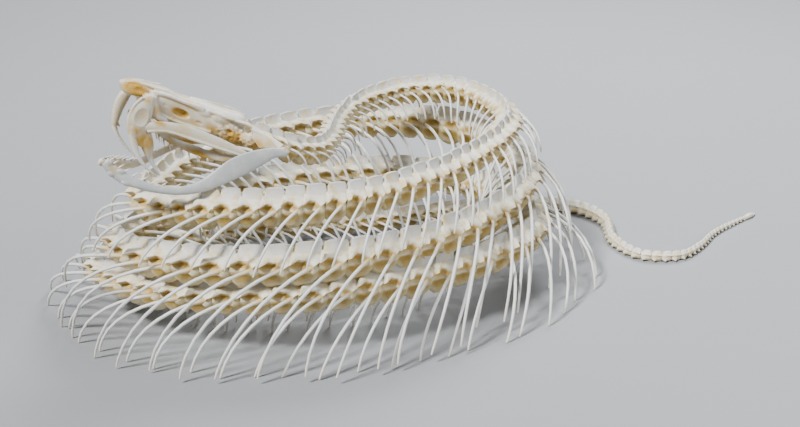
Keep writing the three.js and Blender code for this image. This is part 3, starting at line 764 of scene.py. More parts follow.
@dataclass
class VertebralColumn:
    """The vertebrae of every length, each set on the backbone's line by Geometry Nodes."""

    backbone: Backbone
    finishes: Finishes
    unevenness: float = 0.035
    seed: int = 17
    tail_lengths: int = 3
    fullness: float = 1.1  # how much taller and broader the drawn trunk vertebrae are than the frame's
    roll: float = 2.6  # degrees that a trunk vertebra is usually rolled from true
    tail_middle: float = 0.5  # height of the tail's centreline, in shares of the vertebra's height
    # The tip's scale-like spear: millimetres before the backbone's end, half width and half height.
    spear: tuple = ((8.4, 0.5, 0.5), (7.2, 0.8, 0.8), (5.2, 1, 0.98), (3, 0.92, 0.88), (1.2, 0.55, 0.5),
                    (0.1, 0.14, 0.14))
    spear_corners: int = 12
    spear_floor: float = 0.7  # height of the spear's middle, in shares of the backbone's
    spear_stain: float = 0.08
    spear_rise: float = 0.62

    def __post_init__(self) -> None:
        """Builds the recipe that sets vertebrae on a line."""
        self.recipe = Recipe("set_vertebrae", Vertebra="Object", Unevenness="Float", Seed="Int", Finish="Material")
        turn = self.recipe.node(
            "FunctionNodeAxesToRotation", {"primary_axis": "X", "secondary_axis": "Z"},
            Primary_Axis=self.recipe.painted("tailward"), Secondary_Axis=self.recipe.painted("upward"))
        growth = self.recipe.node("FunctionNodeRandomValue", {"data_type": "FLOAT"}, Seed=self.recipe.given("Seed"))
        for socket, limit in ((growth.inputs[2], -1.0), (growth.inputs[3], 1.0)):
            self.recipe.feed(socket, limit)
        girth = self.recipe.sum("MULTIPLY_ADD", growth.outputs[1], self.recipe.given("Unevenness"), 1.0)
        size = self.recipe.node("ShaderNodeVectorMath", {"operation": "SCALE"}, Vector=self.recipe.painted("size"),
                                Scale=girth)
        self.recipe.set_on_points("Vertebra", Rotation=turn.outputs[0], Scale=size.outputs[0])

    def build(self) -> None:
        """Builds and hands over every length of the column and the tail."""
        trunk, tail = TRUNK_VERTEBRA.make(), TAIL_VERTEBRA.make()
        for title, first, after in self.backbone.lengths():
            self._set(title, (first, after), trunk, [f"{title}_{side.word}" for side in Side])
        ribbed, total = self.backbone.ribbed, len(self.backbone.vertebrae)
        cuts = [ribbed + round_half_up(n * (total - ribbed) / self.tail_lengths)
                for n in range(self.tail_lengths + 1)]
        for n, span in enumerate(zip(cuts[:-1], cuts[1:]), 1):
            self._set(f"tail_{n}", span, tail, [f"tail_{n}"])
        self._spear()
        for shape in (trunk, tail):
            bpy.data.objects.remove(shape)

    def _spear(self) -> None:
        """Builds the smooth pointed end of the tail."""
        form = BoneForm("tail_tip")
        rings = []
        for before, wide, high in smooth_rows(self.spear, 3):
            distance = self.backbone.length - before
            place = self.backbone.at(distance)
            left, upward = square_to(self.backbone.heading(distance, self.backbone.bearing_span))
            middle = np.array([place[0], place[1], max(high, place[2] * self.spear_floor)])
            rings.append(in_frame(oval(middle, left, wide, upward, high, self.spear_corners)))
        form.loft(rings)
        piece = form.plain()
        paint(piece, "hollow", np.full(len(form.points), self.spear_stain))
        paint(piece, "rise", np.full(len(form.points), self.spear_rise))
        piece.data.materials.append(self.finishes.spine)
        piece.data.shade_smooth()
        hand_over(piece, [f"tail_{self.tail_lengths}"])

    def _place(self, index: int) -> tuple:
        """Finds how a vertebra stands: the tail's on the floor, and the trunk's rolled a little.

        Args:
            index: Which vertebra it is.

        Returns:
            Its place, its way to the tail, its way up and its sizes.
        """
        vertebra = self.backbone.vertebrae[index]
        place = self.backbone.at(vertebra.start)
        on = self.backbone.at(min(vertebra.start + vertebra.pitch, self.backbone.length))
        tailward = unit(on - place)
        left, upward = square_to(tailward)
        girth = vertebra.height
        if index >= self.backbone.ribbed:
            place = np.array([place[0], place[1], self.tail_middle * girth])
        else:
            girth *= self.fullness
            rolled = math.radians(np.random.default_rng((self.seed, index)).normal(0.0, self.roll))
            upward = upward * math.cos(rolled) + left * math.sin(rolled)
        return place, tailward, upward, (vertebra.pitch, girth, girth)

    def _set(self, title: str, span: tuple, bone: Piece, nodes: list[str]) -> None:
        """Sets one length's vertebrae and hands the piece over.

        Args:
            title: The length's name.
            span: Its first vertebra and the one after its last.
            bone: The vertebra that is repeated.
            nodes: The frame's nodes that the piece replaces.
        """
        places, tailward, upward, sizes = zip(*(self._place(index) for index in range(*span)))
        piece = new_piece(f"vertebrae_{title}", in_frame(places), [])
        for name, values in (("tailward", tailward), ("upward", upward), ("size", np.array(sizes) * MM)):
            paint(piece, name, values, "FLOAT_VECTOR")
        self.recipe.run(piece, Vertebra=bone, Unevenness=self.unevenness, Seed=self.seed,
                        Finish=self.finishes.spine)
        hand_over(piece, nodes)


# ---------------------------------------------------------------- ribs
@dataclass
class RibCage:
    """Every rib: it takes its natural reach and drop unless a turn of the body is in the way."""

    backbone: Backbone
    finishes: Finishes
    along: float = 0.5
    facet: float = 0.3
    spread: float = 0.46
    drop: float = 0.7
    sweep: float = 0.56
    splay: float = 0.45
    roundness: float = 0.7
    # How much of the sweep and of the fall follow a full quarter turn on the drawn ribs.
    drawn_sweep: float = 0.75
    drawn_roundness: float = 0.95
    wander: float = 0.09  # how unlike its neighbours a drawn rib's reach and sweep are
    curve_wander: tuple = (0.6, 1.2)  # and how much of its sweep's curve it takes
    seed: int = 31
    bearing_per_reach: float = 2.6
    least_bearing: float = 4.0
    rod_radius: float = 0.56
    clearance: float = 0.5
    knee: float = 0.42
    shortest: float = 31.0
    search_shares: tuple = (0, 0.2, 0.42, 0.7, 1)
    spreads: tuple = (1, 1.12, 0.88, 1.26, 0.76, 1.42, 0.64, 1.6, 0.5, 0.38)
    drops: tuple = (1, 0.86, 0.72, 0.6, 0.48, 0.36, 0.25)
    shallow_cost: float = 1.3
    change_cost: float = 0.8
    margin: float = 12.0
    neighbours: int = 14
    column_rods: tuple = ((0, 0.38), (0.34, 0.18), (-0.34, 0.18))
    drawn_shares: tuple = (0, 0.035, 0.1, 0.2, 0.32, 0.45, 0.58, 0.71, 0.84, 0.94, 1)
    # Share of the run, then the rod's radius in millimetres there.
    girth: tuple = ((0, 0.8), (0.035, 0.78), (0.1, 0.6), (0.2, 0.54), (0.5, 0.53), (0.8, 0.47), (0.95, 0.4),
                    (1, 0.28))
    full_girth_rib: float = 30.0
    corners: int = 6
    short_rib_size: float = 0.58  # how thick the least rib's rod is, in shares of the thickest's

    def __post_init__(self) -> None:
        """Builds the recipe that turns lines into rods, and finds every rib a clear place."""
        self.recipe = Recipe("grow_ribs", Corners="Int", Finish="Material")
        line = self.recipe.node("GeometryNodeMeshToCurve", Mesh=self.recipe.given("Geometry"))
        section = self.recipe.node("GeometryNodeCurvePrimitiveCircle", Resolution=self.recipe.given("Corners"),
                                   Radius=1.0)
        rod = self.recipe.node(
            "GeometryNodeCurveToMesh", Curve=line.outputs[0], Profile_Curve=section.outputs[0],
            Scale=self.recipe.painted("radius_here", "FLOAT"), Fill_Caps=True)
        self.recipe.close(self.recipe.node("GeometryNodeSetShadeSmooth", Geometry=rod.outputs[0]).outputs[0])
        self.runs = self._settle()

    def run(self, index: int, side: Side, reach: float, fall: float, shares: tuple,
            drawn: bool = False) -> np.ndarray:
        """Returns points down one rib.

        Args:
            index: Its vertebra.
            side: Which side it is on.
            reach: How far out it ends.
            fall: How far down it ends.
            shares: Shares of its run where the points are.
            drawn: Whether it hangs in the drawn rib's fuller curve.

        Returns:
            The points, in millimetres.
        """
        vertebra = self.backbone.vertebrae[index]
        start = vertebra.start + self.along * vertebra.pitch
        facet = self.facet * vertebra.height
        root_height = self.backbone.at(start)[2]
        span = self.bearing_per_reach * reach + self.least_bearing
        sweep, sweep_curve, roundness = self.sweep, 0.0, self.roundness
        if drawn:
            dice = np.random.default_rng((self.seed, index, side.value + 1))
            reach *= 1 + self.wander * dice.uniform(-1, 1)
            sweep *= 1 + self.wander * dice.uniform(-1, 1)
            sweep_curve = self.drawn_sweep * dice.uniform(*self.curve_wander)
            roundness = self.drawn_roundness
        points = []
        for share in shares:
            turn = share * math.pi / 2
            swept = sweep * vertebra.rib * mix(share, math.sin(turn), sweep_curve)
            place = min(start + swept, self.backbone.length)
            left = unit(np.cross(self.backbone.heading(place, span), UP))
            across = side.value * mix(facet, max(reach, facet), math.sin(turn))
            point = self.backbone.at(place) + left * across
            point[2] = root_height - fall * mix(share, 1 - math.cos(turn), roundness)
            points.append(point)
        return np.array(points)

    def _lines(self, index: int, side: Side, reach: float, fall: float) -> list[np.ndarray]:
        """Finds the two lines that a rib must keep clear.

        Args:
            index: Its vertebra.
            side: Which side it is on.
            reach: How far out it ends.
            fall: How far down it ends.

        Returns:
            Its curve and the frame's rod.
        """
        short = self.backbone.vertebrae[index].rib < self.shortest
        rod = (0, 1) if short else (0, self.knee, 1)
        return [self.run(index, side, reach, fall, shares) for shares in (self.search_shares, rod)]

    def _natural(self, index: int) -> tuple[float, float]:
        """Finds how a rib hangs where only the floor is in its way.

        Args:
            index: Its vertebra.

        Returns:
            Its own reach and fall.
        """
        vertebra = self.backbone.vertebrae[index]
        height = self.backbone.at(vertebra.start + self.along * vertebra.pitch)[2]
        free = self.drop * vertebra.rib
        fall = min(free, height)
        return self.spread * vertebra.rib + self.splay * (free - fall), fall

    def _choices(self, wide_before: float, deep_before: float) -> list[tuple[float, float]]:
        """Lists every reach and fall to try, nearest the natural and the last rib's first.

        Args:
            wide_before: The last rib's share of its natural reach.
            deep_before: The last rib's share of its natural fall.

        Returns:
            The shares to try, in order.
        """
        costs = {(wide, deep): abs(math.log(wide)) + self.shallow_cost * (1 - deep)
                 + self.change_cost * (abs(wide - wide_before) + abs(deep - deep_before))
                 for wide in self.spreads for deep in self.drops}
        return sorted(costs, key=costs.get)

    def _settle(self) -> dict:
        """Finds every rib a place clear of all that it passes.

        Returns:
            The reach and fall of each vertebra's rib on each side.
        """
        bones = self.backbone.vertebrae
        rods = []  # each: start, end, radius, its vertebra and whether it is a rib's
        for i, vertebra in enumerate(bones[:-1]):
            a, b = self.backbone.at(vertebra.start), self.backbone.at(bones[i + 1].start)
            for rise, radius in self.column_rods:
                lift = UP * rise * vertebra.height
                rods.append((a + lift, b + lift, radius * vertebra.height, i, False))
        settled = {}
        for side in Side:
            before = (1.0, 1.0)
            for i in range(self.backbone.ribbed - 1, -1, -1):
                starts, ends, radii, owners, is_rib = (np.array(column) for column in zip(*rods))
                root = self.backbone.at(bones[i].start)
                near_root = np.linalg.norm(starts - root, axis=1) < bones[i].rib + self.margin
                near = near_root & (is_rib | (np.abs(owners - i) >= self.neighbours))
                reach, fall = self._natural(i)
                for wide, deep in self._choices(*before):
                    lines = self._lines(i, side, reach * wide, fall * deep)
                    if all(self._clear(line, starts[near], ends[near], radii[near]) for line in lines):
                        break
                before = (wide, deep)
                settled[(i, side)] = (reach * wide, fall * deep)
                rods += [(a, b, self.rod_radius, i, True) for line in lines for a, b in zip(line[:-1], line[1:])]
        return settled

    def _clear(self, line: np.ndarray, starts: np.ndarray, ends: np.ndarray, radii: np.ndarray) -> bool:
        """Says whether a line keeps its distance from every rod.

        Args:
            line: Points along the line.
            starts: Each rod's start.
            ends: Each rod's end.
            radii: Each rod's radius.

        Returns:
            Whether it does.
        """
        room = radii + self.rod_radius + self.clearance
        for a, b in zip(line[:-1], line[1:]):
            u, v, w = b - a, ends - starts, a - starts
            uu, uv, vv = u @ u, v @ u, (v * v).sum(1)
            uw, vw = w @ u, (v * w).sum(1)
            spanned = uu * vv - uv * uv
            safe = np.where(spanned > 1e-9, spanned, 1.0)
            s = np.where(spanned > 1e-9, np.clip((uv * vw - vv * uw) / safe, 0, 1), 0)
            t = np.clip((uv * s + vw) / vv, 0, 1)
            s = np.clip((uv * t - uw) / uu, 0, 1)
            gap = np.linalg.norm(w + u * s[:, None] - v * t[:, None], axis=1)
            if not (gap > room).all():
                return False
        return True

    def build(self) -> None:
        """Builds and hands over each side of each length's ribs."""
        for title, first, after in self.backbone.lengths():
            for side in Side:
                points, radii = [], []
                for index in range(first, after):
                    rib = self.run(index, side, *self.runs[(index, side)], self.drawn_shares, drawn=True)
                    thick = self._thickness(self.backbone.vertebrae[index].rib)
                    rib[:, 2] = np.maximum(rib[:, 2], thick)
                    points += list(rib)
                    radii += list(thick)
                count = len(self.drawn_shares)
                edges = [(k, k + 1) for k in range(len(points) - 1) if (k + 1) % count]
                piece = new_piece(f"ribs_{title}_{side.word}", in_frame(points), [], edges)
                paint(piece, "radius_here", np.array(radii) * MM)
                paint(piece, "share", np.tile(self.drawn_shares, after - first))
                self.recipe.run(piece, Corners=self.corners, Finish=self.finishes.rib)
                hand_over(piece, [f"{title}_{side.word}"])

    def _thickness(self, rib: float) -> np.ndarray:
        """Finds a rib's thickness.

        Args:
            rib: Its length.

        Returns:
            Its rod's radius at each drawn share, thinner on a short rib.
        """
        table = np.array(self.girth)
        size = mix(self.short_rib_size, 1.0, min(rib / self.full_girth_rib, 1.0))
        return size * np.interp(self.drawn_shares, table[:, 0], table[:, 1])


# ---------------------------------------------------------------- sculpted bones
@dataclass(frozen=True)
class Mark:
    """A dent or a stain on a bone: its middle, its reach along, across and up, and a stain's strength."""

    middle: Triple
    reach: Triple
    strength: float = 1.0

    def on(self, side: Side) -> "Mark":
        """Returns the mark on a side of the head, from how it is on the left."""
        x, y, z = self.middle
        return Mark((x, side.value * y, z), self.reach, self.strength)


class BoneForm:
    """Gathers overlapping closed forms, in the head's own millimetres, and fuses them into a bone.

    Each form is given as it is on the left, and goes on the side that the bone is turned to.
    """

    least_half = 0.05
    knob_tilts = np.linspace(-0.48, 0.48, 8) * math.pi
    smoothing = 0.5
    swell_passes = 5
    # How a bone's stain falls with its swell, and how its paleness grows with its slope and its swell: faces turned
    # up are painted paler and faces turned down warmer and darker, a painted light from above with painted shade
    # beneath, and ridges are painted paler as painted highlights.
    stain_per_swell = 0.9
    level_rise, rise_per_slope, rise_per_swell = 0.45, 0.28, 1.6

    def __init__(self, name: str, side: Side = Side.LEFT) -> None:
        """Starts an empty form.

        Args:
            name: The bone's name.
            side: The side that it is turned to.
        """
        self.name = name
        self.side = side
        self.points: list = []
        self.faces: list = []

    def loft(self, rings: list) -> None:
        """Adds a closed form.

        Args:
            rings: The rings that it passes, with the same count of corners.
        """
        first, corners = len(self.points), len(rings[0])
        for ring in rings:
            self.points += [tuple(point) for point in ring]
        last = len(self.points) - corners
        self.faces += sleeve(first, len(rings), corners)
        self.faces += [tuple(range(first + corners - 1, first - 1, -1)), tuple(range(last, last + corners))]

    def rod(self, rows: tuple, corners: int = 14, steps: int = 5) -> None:
        """Adds a rod.

        Args:
            rows: How far forward, how far out, how high, half height and half width, row by row.
            corners: Corners around it.
            steps: Rings between each two rows.
        """
        dense = smooth_rows(rows, steps)
        middles = dense[:, :3] * (1, self.side.value, 1)
        rings = []
        for i, (middle, (high, wide)) in enumerate(zip(middles, np.maximum(dense[:, 3:5], self.least_half))):
            along = unit(middles[min(i + 1, len(middles) - 1)] - middles[max(i - 1, 0)])
            across = unit(np.cross(UP, along))
            rings.append(oval(middle, across, wide, np.cross(along, across), high, corners))
        self.loft(rings)

    def stack(self, rows: tuple, corners: int = 18, steps: int = 4) -> None:
        """Adds an upright form through rows of height, middle forward, half length, way out and half width."""
        self.loft([[(x + half * math.cos(a), self.side.value * (out + wide * math.sin(a)), z)
                    for a in turns(corners)] for z, x, half, out, wide in smooth_rows(rows, steps)])

    def case(self, rows: tuple, corners: int = 26, steps: int = 4, squareness: float = 0.8) -> None:
        """Adds a form with both sides alike.

        Args:
            rows: How far forward, top, underside and half width, row by row.
            corners: Corners around it.
            steps: Rings between each two rows.
            squareness: 1 for a round section, less for a boxier one.
        """
        across, over = (np.sign(way) * np.abs(way) ** squareness
                        for way in (np.cos(turns(corners)), np.sin(turns(corners))))
        self.loft([[(x, half * a, (top + foot) / 2 + (top - foot) / 2 * o) for a, o in zip(across, over)]
                   for x, top, foot, half in smooth_rows(rows, steps)])

    def knob(self, middle: tuple, reach: tuple, corners: int = 12) -> None:
        """Adds a rounded knob.

        Args:
            middle: Its middle.
            reach: Its reach along, across and up.
            corners: Corners around it.
        """
        x, y, z = middle[0], self.side.value * middle[1], middle[2]
        self.loft([[(x + reach[0] * math.sin(t), y + reach[1] * math.cos(t) * math.cos(a),
                     z + reach[2] * math.cos(t) * math.sin(a)) for a in turns(corners)] for t in self.knob_tilts])

    def plate(self, corners: tuple, thickness: float) -> None:
        """Adds a flat plate of a thickness through corners, each forward, out and up."""
        self.loft([[(x, self.side.value * (out + offset * thickness), z) for x, out, z in corners]
                   for offset in (-0.5, 0.5)])

    def plain(self) -> Piece:
        """Makes the forms into an object as they stand.

        Returns:
            The object, with its faces outwards.
        """
        piece = new_piece(self.name, self.points, self.faces)
        square_up(piece)
        return piece

    def fuse(self, voxel: float, dents: tuple = (), stains: tuple = (), passes: int = 2) -> Piece:
        """Fuses the forms into one skin, presses its hollows and paints its stains.

        Args:
            voxel: Size of the skin's faces.
            dents: Hollows to press, each towards the middle of the head.
            stains: Stained places.
            passes: Rounds of smoothing.

        Returns:
            The bone, still in the head's own millimetres.
        """
        piece = self.plain()
        skin = piece.modifiers.new("skin", "REMESH")
        skin.mode = "VOXEL"
        skin.voxel_size = voxel
        self._relax(piece, passes)
        if dents:
            corners = read(piece.data.vertices, "co")
            for dent in dents:
                reach = (corners - np.array(dent.middle)) / np.array(dent.reach)
                inside = (reach ** 2).sum(1) < 1
                depth = np.sqrt(np.clip(1 - reach[:, 0] ** 2 - reach[:, 2] ** 2, 0, 1))
                pressed = dent.middle[1] - np.sign(dent.middle[1]) * dent.reach[1] * depth
                corners[inside, 1] = pressed[inside]
            piece.data.vertices.foreach_set("co", corners.ravel())
            self._relax(piece, passes)
        corners = read(piece.data.vertices, "co")
        stained = np.zeros(len(corners))
        for stain in stains:
            away = (corners - np.array(stain.middle)) / np.array(stain.reach)
            stained = np.maximum(stained, stain.strength * np.exp(-(away ** 2).sum(1)))
        normals = read(piece.data.vertices, "normal")
        swell = self._swell(piece, corners, normals)
        paint(piece, "hollow", np.clip(stained - self.stain_per_swell * swell, 0, 1))
        # "rise" holds painted light: paler on faces turned up, warmer and darker on faces turned down, and paler on
        # ridges as painted highlights
        paint(piece, "rise", np.clip(self.level_rise + self.rise_per_slope * normals[:, 2]
                                     + self.rise_per_swell * swell, 0, 1))
        return piece

    def _swell(self, piece: Piece, corners: np.ndarray, normals: np.ndarray) -> np.ndarray:
        """Finds how far each corner stands out from its neighbours.

        Args:
            piece: The bone.
            corners: Its corners.
            normals: The way that each corner faces.

        Returns:
            A number for each corner: above 0 on ridges, below in hollows.
        """
        edges = read(piece.data.edges, "vertices", 2, int)
        one, other = edges.T
        away = corners[one] - corners[other]
        away /= np.maximum(np.linalg.norm(away, axis=1), 1e-6)[:, None]
        total = len(corners)
        count = np.bincount(edges.ravel(), minlength=total)
        swell = (np.bincount(one, (normals[one] * away).sum(1), total)
                 - np.bincount(other, (normals[other] * away).sum(1), total)) / count
        for _ in range(self.swell_passes):
            swell = 0.5 * swell + 0.5 * (np.bincount(one, swell[other], total)
                                         + np.bincount(other, swell[one], total)) / count
        return swell

    def _relax(self, piece: Piece, passes: int) -> None:
        """Smooths a piece and bakes its modifiers.

        Args:
            piece: The object.
            passes: Rounds of smoothing.
        """
        relax = piece.modifiers.new("relax", "SMOOTH")
        relax.factor = self.smoothing
        relax.iterations = passes
        bake_modifiers(piece)


# ---------------------------------------------------------------- skull
# Fangs and jaws: how far forward, how far out, how high, half height and half width, row by row.
FRONT_LEFT_FANG = (
    (42.6, 7.2, -10.6, 1.2, 1), (41.4, 7.3, -12.9, 1.1, 0.95), (39.9, 7.3, -15, 0.95, 0.8),
    (37.8, 7.3, -17.3, 0.74, 0.66), (35.4, 7.3, -19, 0.52, 0.48), (32.6, 7.3, -20.3, 0.32, 0.3),
    (30.2, 7.3, -20.9, 0.1, 0.1))
REAR_LEFT_FANG = (
    (38.6, 6.4, -10.9, 1.5, 1.15), (37.2, 6.3, -13, 1.2, 1), (35.3, 6.2, -15.2, 0.95, 0.8),
    (33.2, 6.1, -17.3, 0.74, 0.65), (31.1, 6, -19, 0.5, 0.46), (29.2, 5.9, -20.3, 0.26, 0.25),
    (28.2, 5.8, -20.9, 0.1, 0.1))
RIGHT_FANG = (
    (43.4, 7, -9.4, 1.2, 1), (43.5, 7, -11.4, 0.98, 0.85), (42.7, 7, -13.9, 0.8, 0.72),
    (40.9, 6.9, -15.9, 0.66, 0.6), (38.4, 6.8, -17.6, 0.52, 0.48), (35.6, 6.7, -19, 0.34, 0.32),
    (33.3, 6.6, -20, 0.1, 0.1))
LEFT_JAW = (
    (-1.8, 15.2, 0.2, 0.6, 0.5), (-0.6, 15.2, 0, 1.2, 0.8), (2.6, 15, -1.1, 1.7, 0.7), (5.8, 14.6, -3.9, 2.6, 0.6),
    (8.8, 14.3, -6.9, 3.2, 0.55), (11.8, 13.9, -10.2, 3.2, 0.55), (14.5, 13.4, -14, 2.6, 0.65),
    (17.2, 12.8, -17.5, 1.95, 0.75), (20.6, 12, -20.5, 1.5, 0.8), (24.6, 11, -22.7, 1.25, 0.85),
    (30.1, 9.5, -24.4, 1.25, 0.85), (34.4, 8.4, -24.9, 1.45, 0.9), (38.4, 6.9, -25.1, 1.75, 0.95),
    (41.6, 5.8, -24.4, 1.75, 0.95), (44.2, 5.2, -23.6, 1.3, 0.9), (45.6, 5, -23.4, 0.6, 0.6))
RIGHT_JAW = (
    (-1.8, 15.2, -0.9, 0.5, 0.5), (-0.6, 15.2, -1.2, 1, 0.8), (2, 15.4, -2, 1.7, 0.7),
    (6, 16, -4.3, 2.2, 0.65), (14, 16, -9.4, 1.9, 0.7), (20, 14.4, -13.8, 1.5, 0.8), (24.6, 12.3, -17.4, 1.4, 0.85),
    (29, 10.3, -21, 1.5, 0.9), (33.5, 8.4, -23.4, 1.6, 1), (37.5, 6.9, -24, 1.5, 1), (41, 5.6, -24.8, 1.4, 1),
    (43.4, 5, -25.5, 0.7, 0.6))


@dataclass
class Skull:
    """The skull, drawn with +X to the snout, +Y to the snake's left and its origin between the jaw joints."""

    finishes: Finishes
    place: tuple = (-41.2, -27.9, 58.9)
    heading: float = 205.0
    nose_up: float = 28.0
    voxel: float = 0.21
    seed: int = 5
    braincase: tuple = (
        (6.8, 1.1, -1.3, 1.3), (8, 3.4, -3, 3.3), (10.5, 4.6, -4.4, 5.6), (14.7, 4.4, -5, 6.4),
        (19.6, 4, -4.8, 6), (24.5, 3.7, -4.6, 4.9), (28, 3.2, -4.6, 4.1), (31.5, 3, -4.7, 3.9),
        (35, 3.3, -4.2, 4.1), (38.5, 2.8, -3.6, 4.2), (42, 2.3, -2.4, 3.4))
    snout: tuple = (
        (36.5, 3.2, -1.6, 3), (39, 2.8, -1.8, 3.3), (41.4, 2.3, -2, 3.7), (44.6, 2.3, -2.4, 3.4),
        (46.2, 1.6, -2.6, 2.7), (47.6, 0.95, -2.3, 2), (48.6, 0.5, -1.4, 1.4), (49.3, 0.3, -0.3, 0.9))
    snout_squareness: float = 0.62
    roof_ridge: tuple = ((49.2, 0.5, 0.15, 0.2, 0.3), (46.4, 2.1, 1.3, 0.3, 0.35), (43.6, 2.8, 2, 0.35, 0.4),
                         (39.5, 3.6, 2.4, 0.45, 0.45), (36, 4.2, 2.9, 0.5, 0.5))
    brow: tuple = ((41, 4.4, 0.8, 0.8, 1), (36.5, 4.5, 1.7, 0.75, 1.2), (32.5, 4.6, 1.75, 0.65, 1.2),
                   (29, 4.8, 1.8, 0.7, 1.2), (26.8, 5.2, 1.9, 0.9, 1), (24.4, 5.3, 1.6, 1.1, 0.9))
    wall: tuple = ((41.2, 5.1, -0.7, 1.1, 0.8), (38.5, 5, -1.4, 2.2, 0.8), (35, 4.8, -1.5, 2.9, 0.75),
                   (31, 4.8, -1.5, 3.1, 0.75), (27, 5, -1.5, 3, 0.75), (22, 5.7, -1.7, 2.4, 0.8),
                   (17.5, 6.1, -1.6, 2, 0.8))
    wall_ridge: tuple = ((40.8, 6.2, -1.6, 0.45, 0.5), (37, 6, -3.4, 0.4, 0.5), (32, 5.9, -4.2, 0.35, 0.45),
                         (26, 6.1, -4, 0.4, 0.45), (20, 6.9, -3.3, 0.45, 0.5))
    cheek: tuple = ((42.6, 5.4, -0.6, 1.1, 0.9), (40.2, 6, -1.9, 1.7, 0.9), (38, 6.3, -3.8, 1.6, 0.85),
                    (36, 6.4, -5, 1.1, 0.7), (33.4, 6.3, -5.2, 0.5, 0.4))
    crest: tuple = ((27.5, 0, 3.3, 0.35, 0.5), (21, 0, 4, 0.5, 0.4), (14, 0, 4.7, 0.6, 0.4), (9, 0, 4.2, 0.6, 0.4))
    ear_ridge: tuple = ((23, 5.6, 2.2, 0.45, 0.45), (17.5, 6.6, 2.4, 0.5, 0.5), (13, 6.6, 2.8, 0.5, 0.5),
                        (9.6, 6.4, 3.1, 0.6, 0.6))
    knobs: tuple = (((23.4, 4.8, 0.9), (3.1, 1.5, 1.7)), ((18.3, 5.3, 1.2), (3.3, 1.7, 1.9)),
                    ((39.8, 4.7, -0.2), (1.5, 1.5, 1.6)), ((9.4, 2.6, 1.6), (1.5, 2.2, 2.4)))
    condyle: tuple = ((6, 0, -1.3), (1.4, 1.4, 1.2))
    # The rough ear: each mass's middle and reach, then how many crumbs stand on it.
    ear_masses: tuple = (((13.8, 4.6, -1.6), (8.2, 2.6, 3.1), 190), ((7.4, 7.5, -1.2), (3.8, 2.5, 2.1), 70))
    crumb_size: tuple = (0.24, 0.5)
    crumb_build: tuple = (1.3, 0.8, 0.9)  # a crumb's reach along, across and up, in shares of its size
    crumb_spread: float = 0.9
    skull_dents: tuple = (
        Mark((31.3, 6.7, -1.3), (4.2, 1.5, 2)), Mark((30.4, 6, -1.5), (3, 1.8, 1.3)),
        Mark((45, 4.9, 0), (3.6, 1.9, 1.5)), Mark((24.6, 7.4, -2), (2.2, 1.6, 0.9)),
        Mark((14.9, 8.4, -1.1), (1.7, 2, 1)), Mark((36, 6.6, -0.9), (1.8, 1.2, 1.1)))
    skull_stains: tuple = (
        Mark((45.4, 3.2, 0), (3.8, 2.6, 2), 1.6), Mark((46.6, 2.9, 0.4), (1, 1.5, 0.5), 2.4),
        Mark((30.4, 4.2, -1.5), (2.7, 1.6, 1.4), 1.8), Mark((31.3, 5, -1.3), (5, 1.8, 2.6), 0.55),
        Mark((12.5, 6.8, -2), (5.4, 3, 2.6), 0.95), Mark((7, 9.4, -1.6), (3, 3, 2), 0.9),
        Mark((19.5, 6.5, -2.2), (3.4, 2, 1.4), 0.7),
        Mark((8.6, 4.6, 0.6), (2, 2.4, 2), 0.5), Mark((25.5, 6, -2.4), (3, 1.6, 1.2), 0.45),
        Mark((38.4, 6.6, -3), (2.4, 1.8, 1.7), 0.75), Mark((41.5, 4, -1.4), (2, 2, 0.9), 0.5))
    # The maxilla hangs from the snout: height, its middle forward, half length, how far out, half width.
    maxillae: dict = field(default_factory=lambda: {
        Side.LEFT: ((0.3, 40.6, 1.5, 6.1, 0.8), (-1.4, 41.4, 2.2, 6.4, 1), (-4, 42, 3.1, 6.8, 1.4),
                    (-7.5, 41.9, 3.7, 7, 1.6), (-10.2, 41.1, 3.5, 6.9, 1.5), (-12.6, 39.7, 3.3, 6.7, 1.3),
                    (-14.6, 38.2, 2.9, 6.5, 1.1)),
        Side.RIGHT: ((0, 42, 0.9, 6.1, 0.7), (-1.8, 43.2, 1.3, 6.4, 0.9), (-5.5, 44, 1.8, 6.9, 1.2),
                     (-8.8, 44, 1.6, 7, 1.2), (-12.2, 43.4, 1.2, 7, 1.05), (-13.9, 42.9, 0.8, 7, 0.8))})
    maxilla_ridges: tuple = (
        ((-1, 43.5, 0.5, 7, 0.4), (-4, 45, 0.45, 7.4, 0.4), (-7.5, 45.1, 0.45, 7.5, 0.4),
         (-10.5, 44, 0.5, 7.4, 0.4), (-13.5, 41.4, 0.5, 7, 0.4)),
        ((-0.6, 41, 0.5, 6.9, 0.4), (-3.4, 39.9, 0.4, 7.4, 0.3), (-6, 39.2, 0.4, 7.6, 0.3),
         (-8.6, 38.4, 0.5, 7.6, 0.35)))
    ridge_corners: int = 10
    pit: Mark = Mark((41.9, 12.5, -5.6), (6, 4.6, 7))
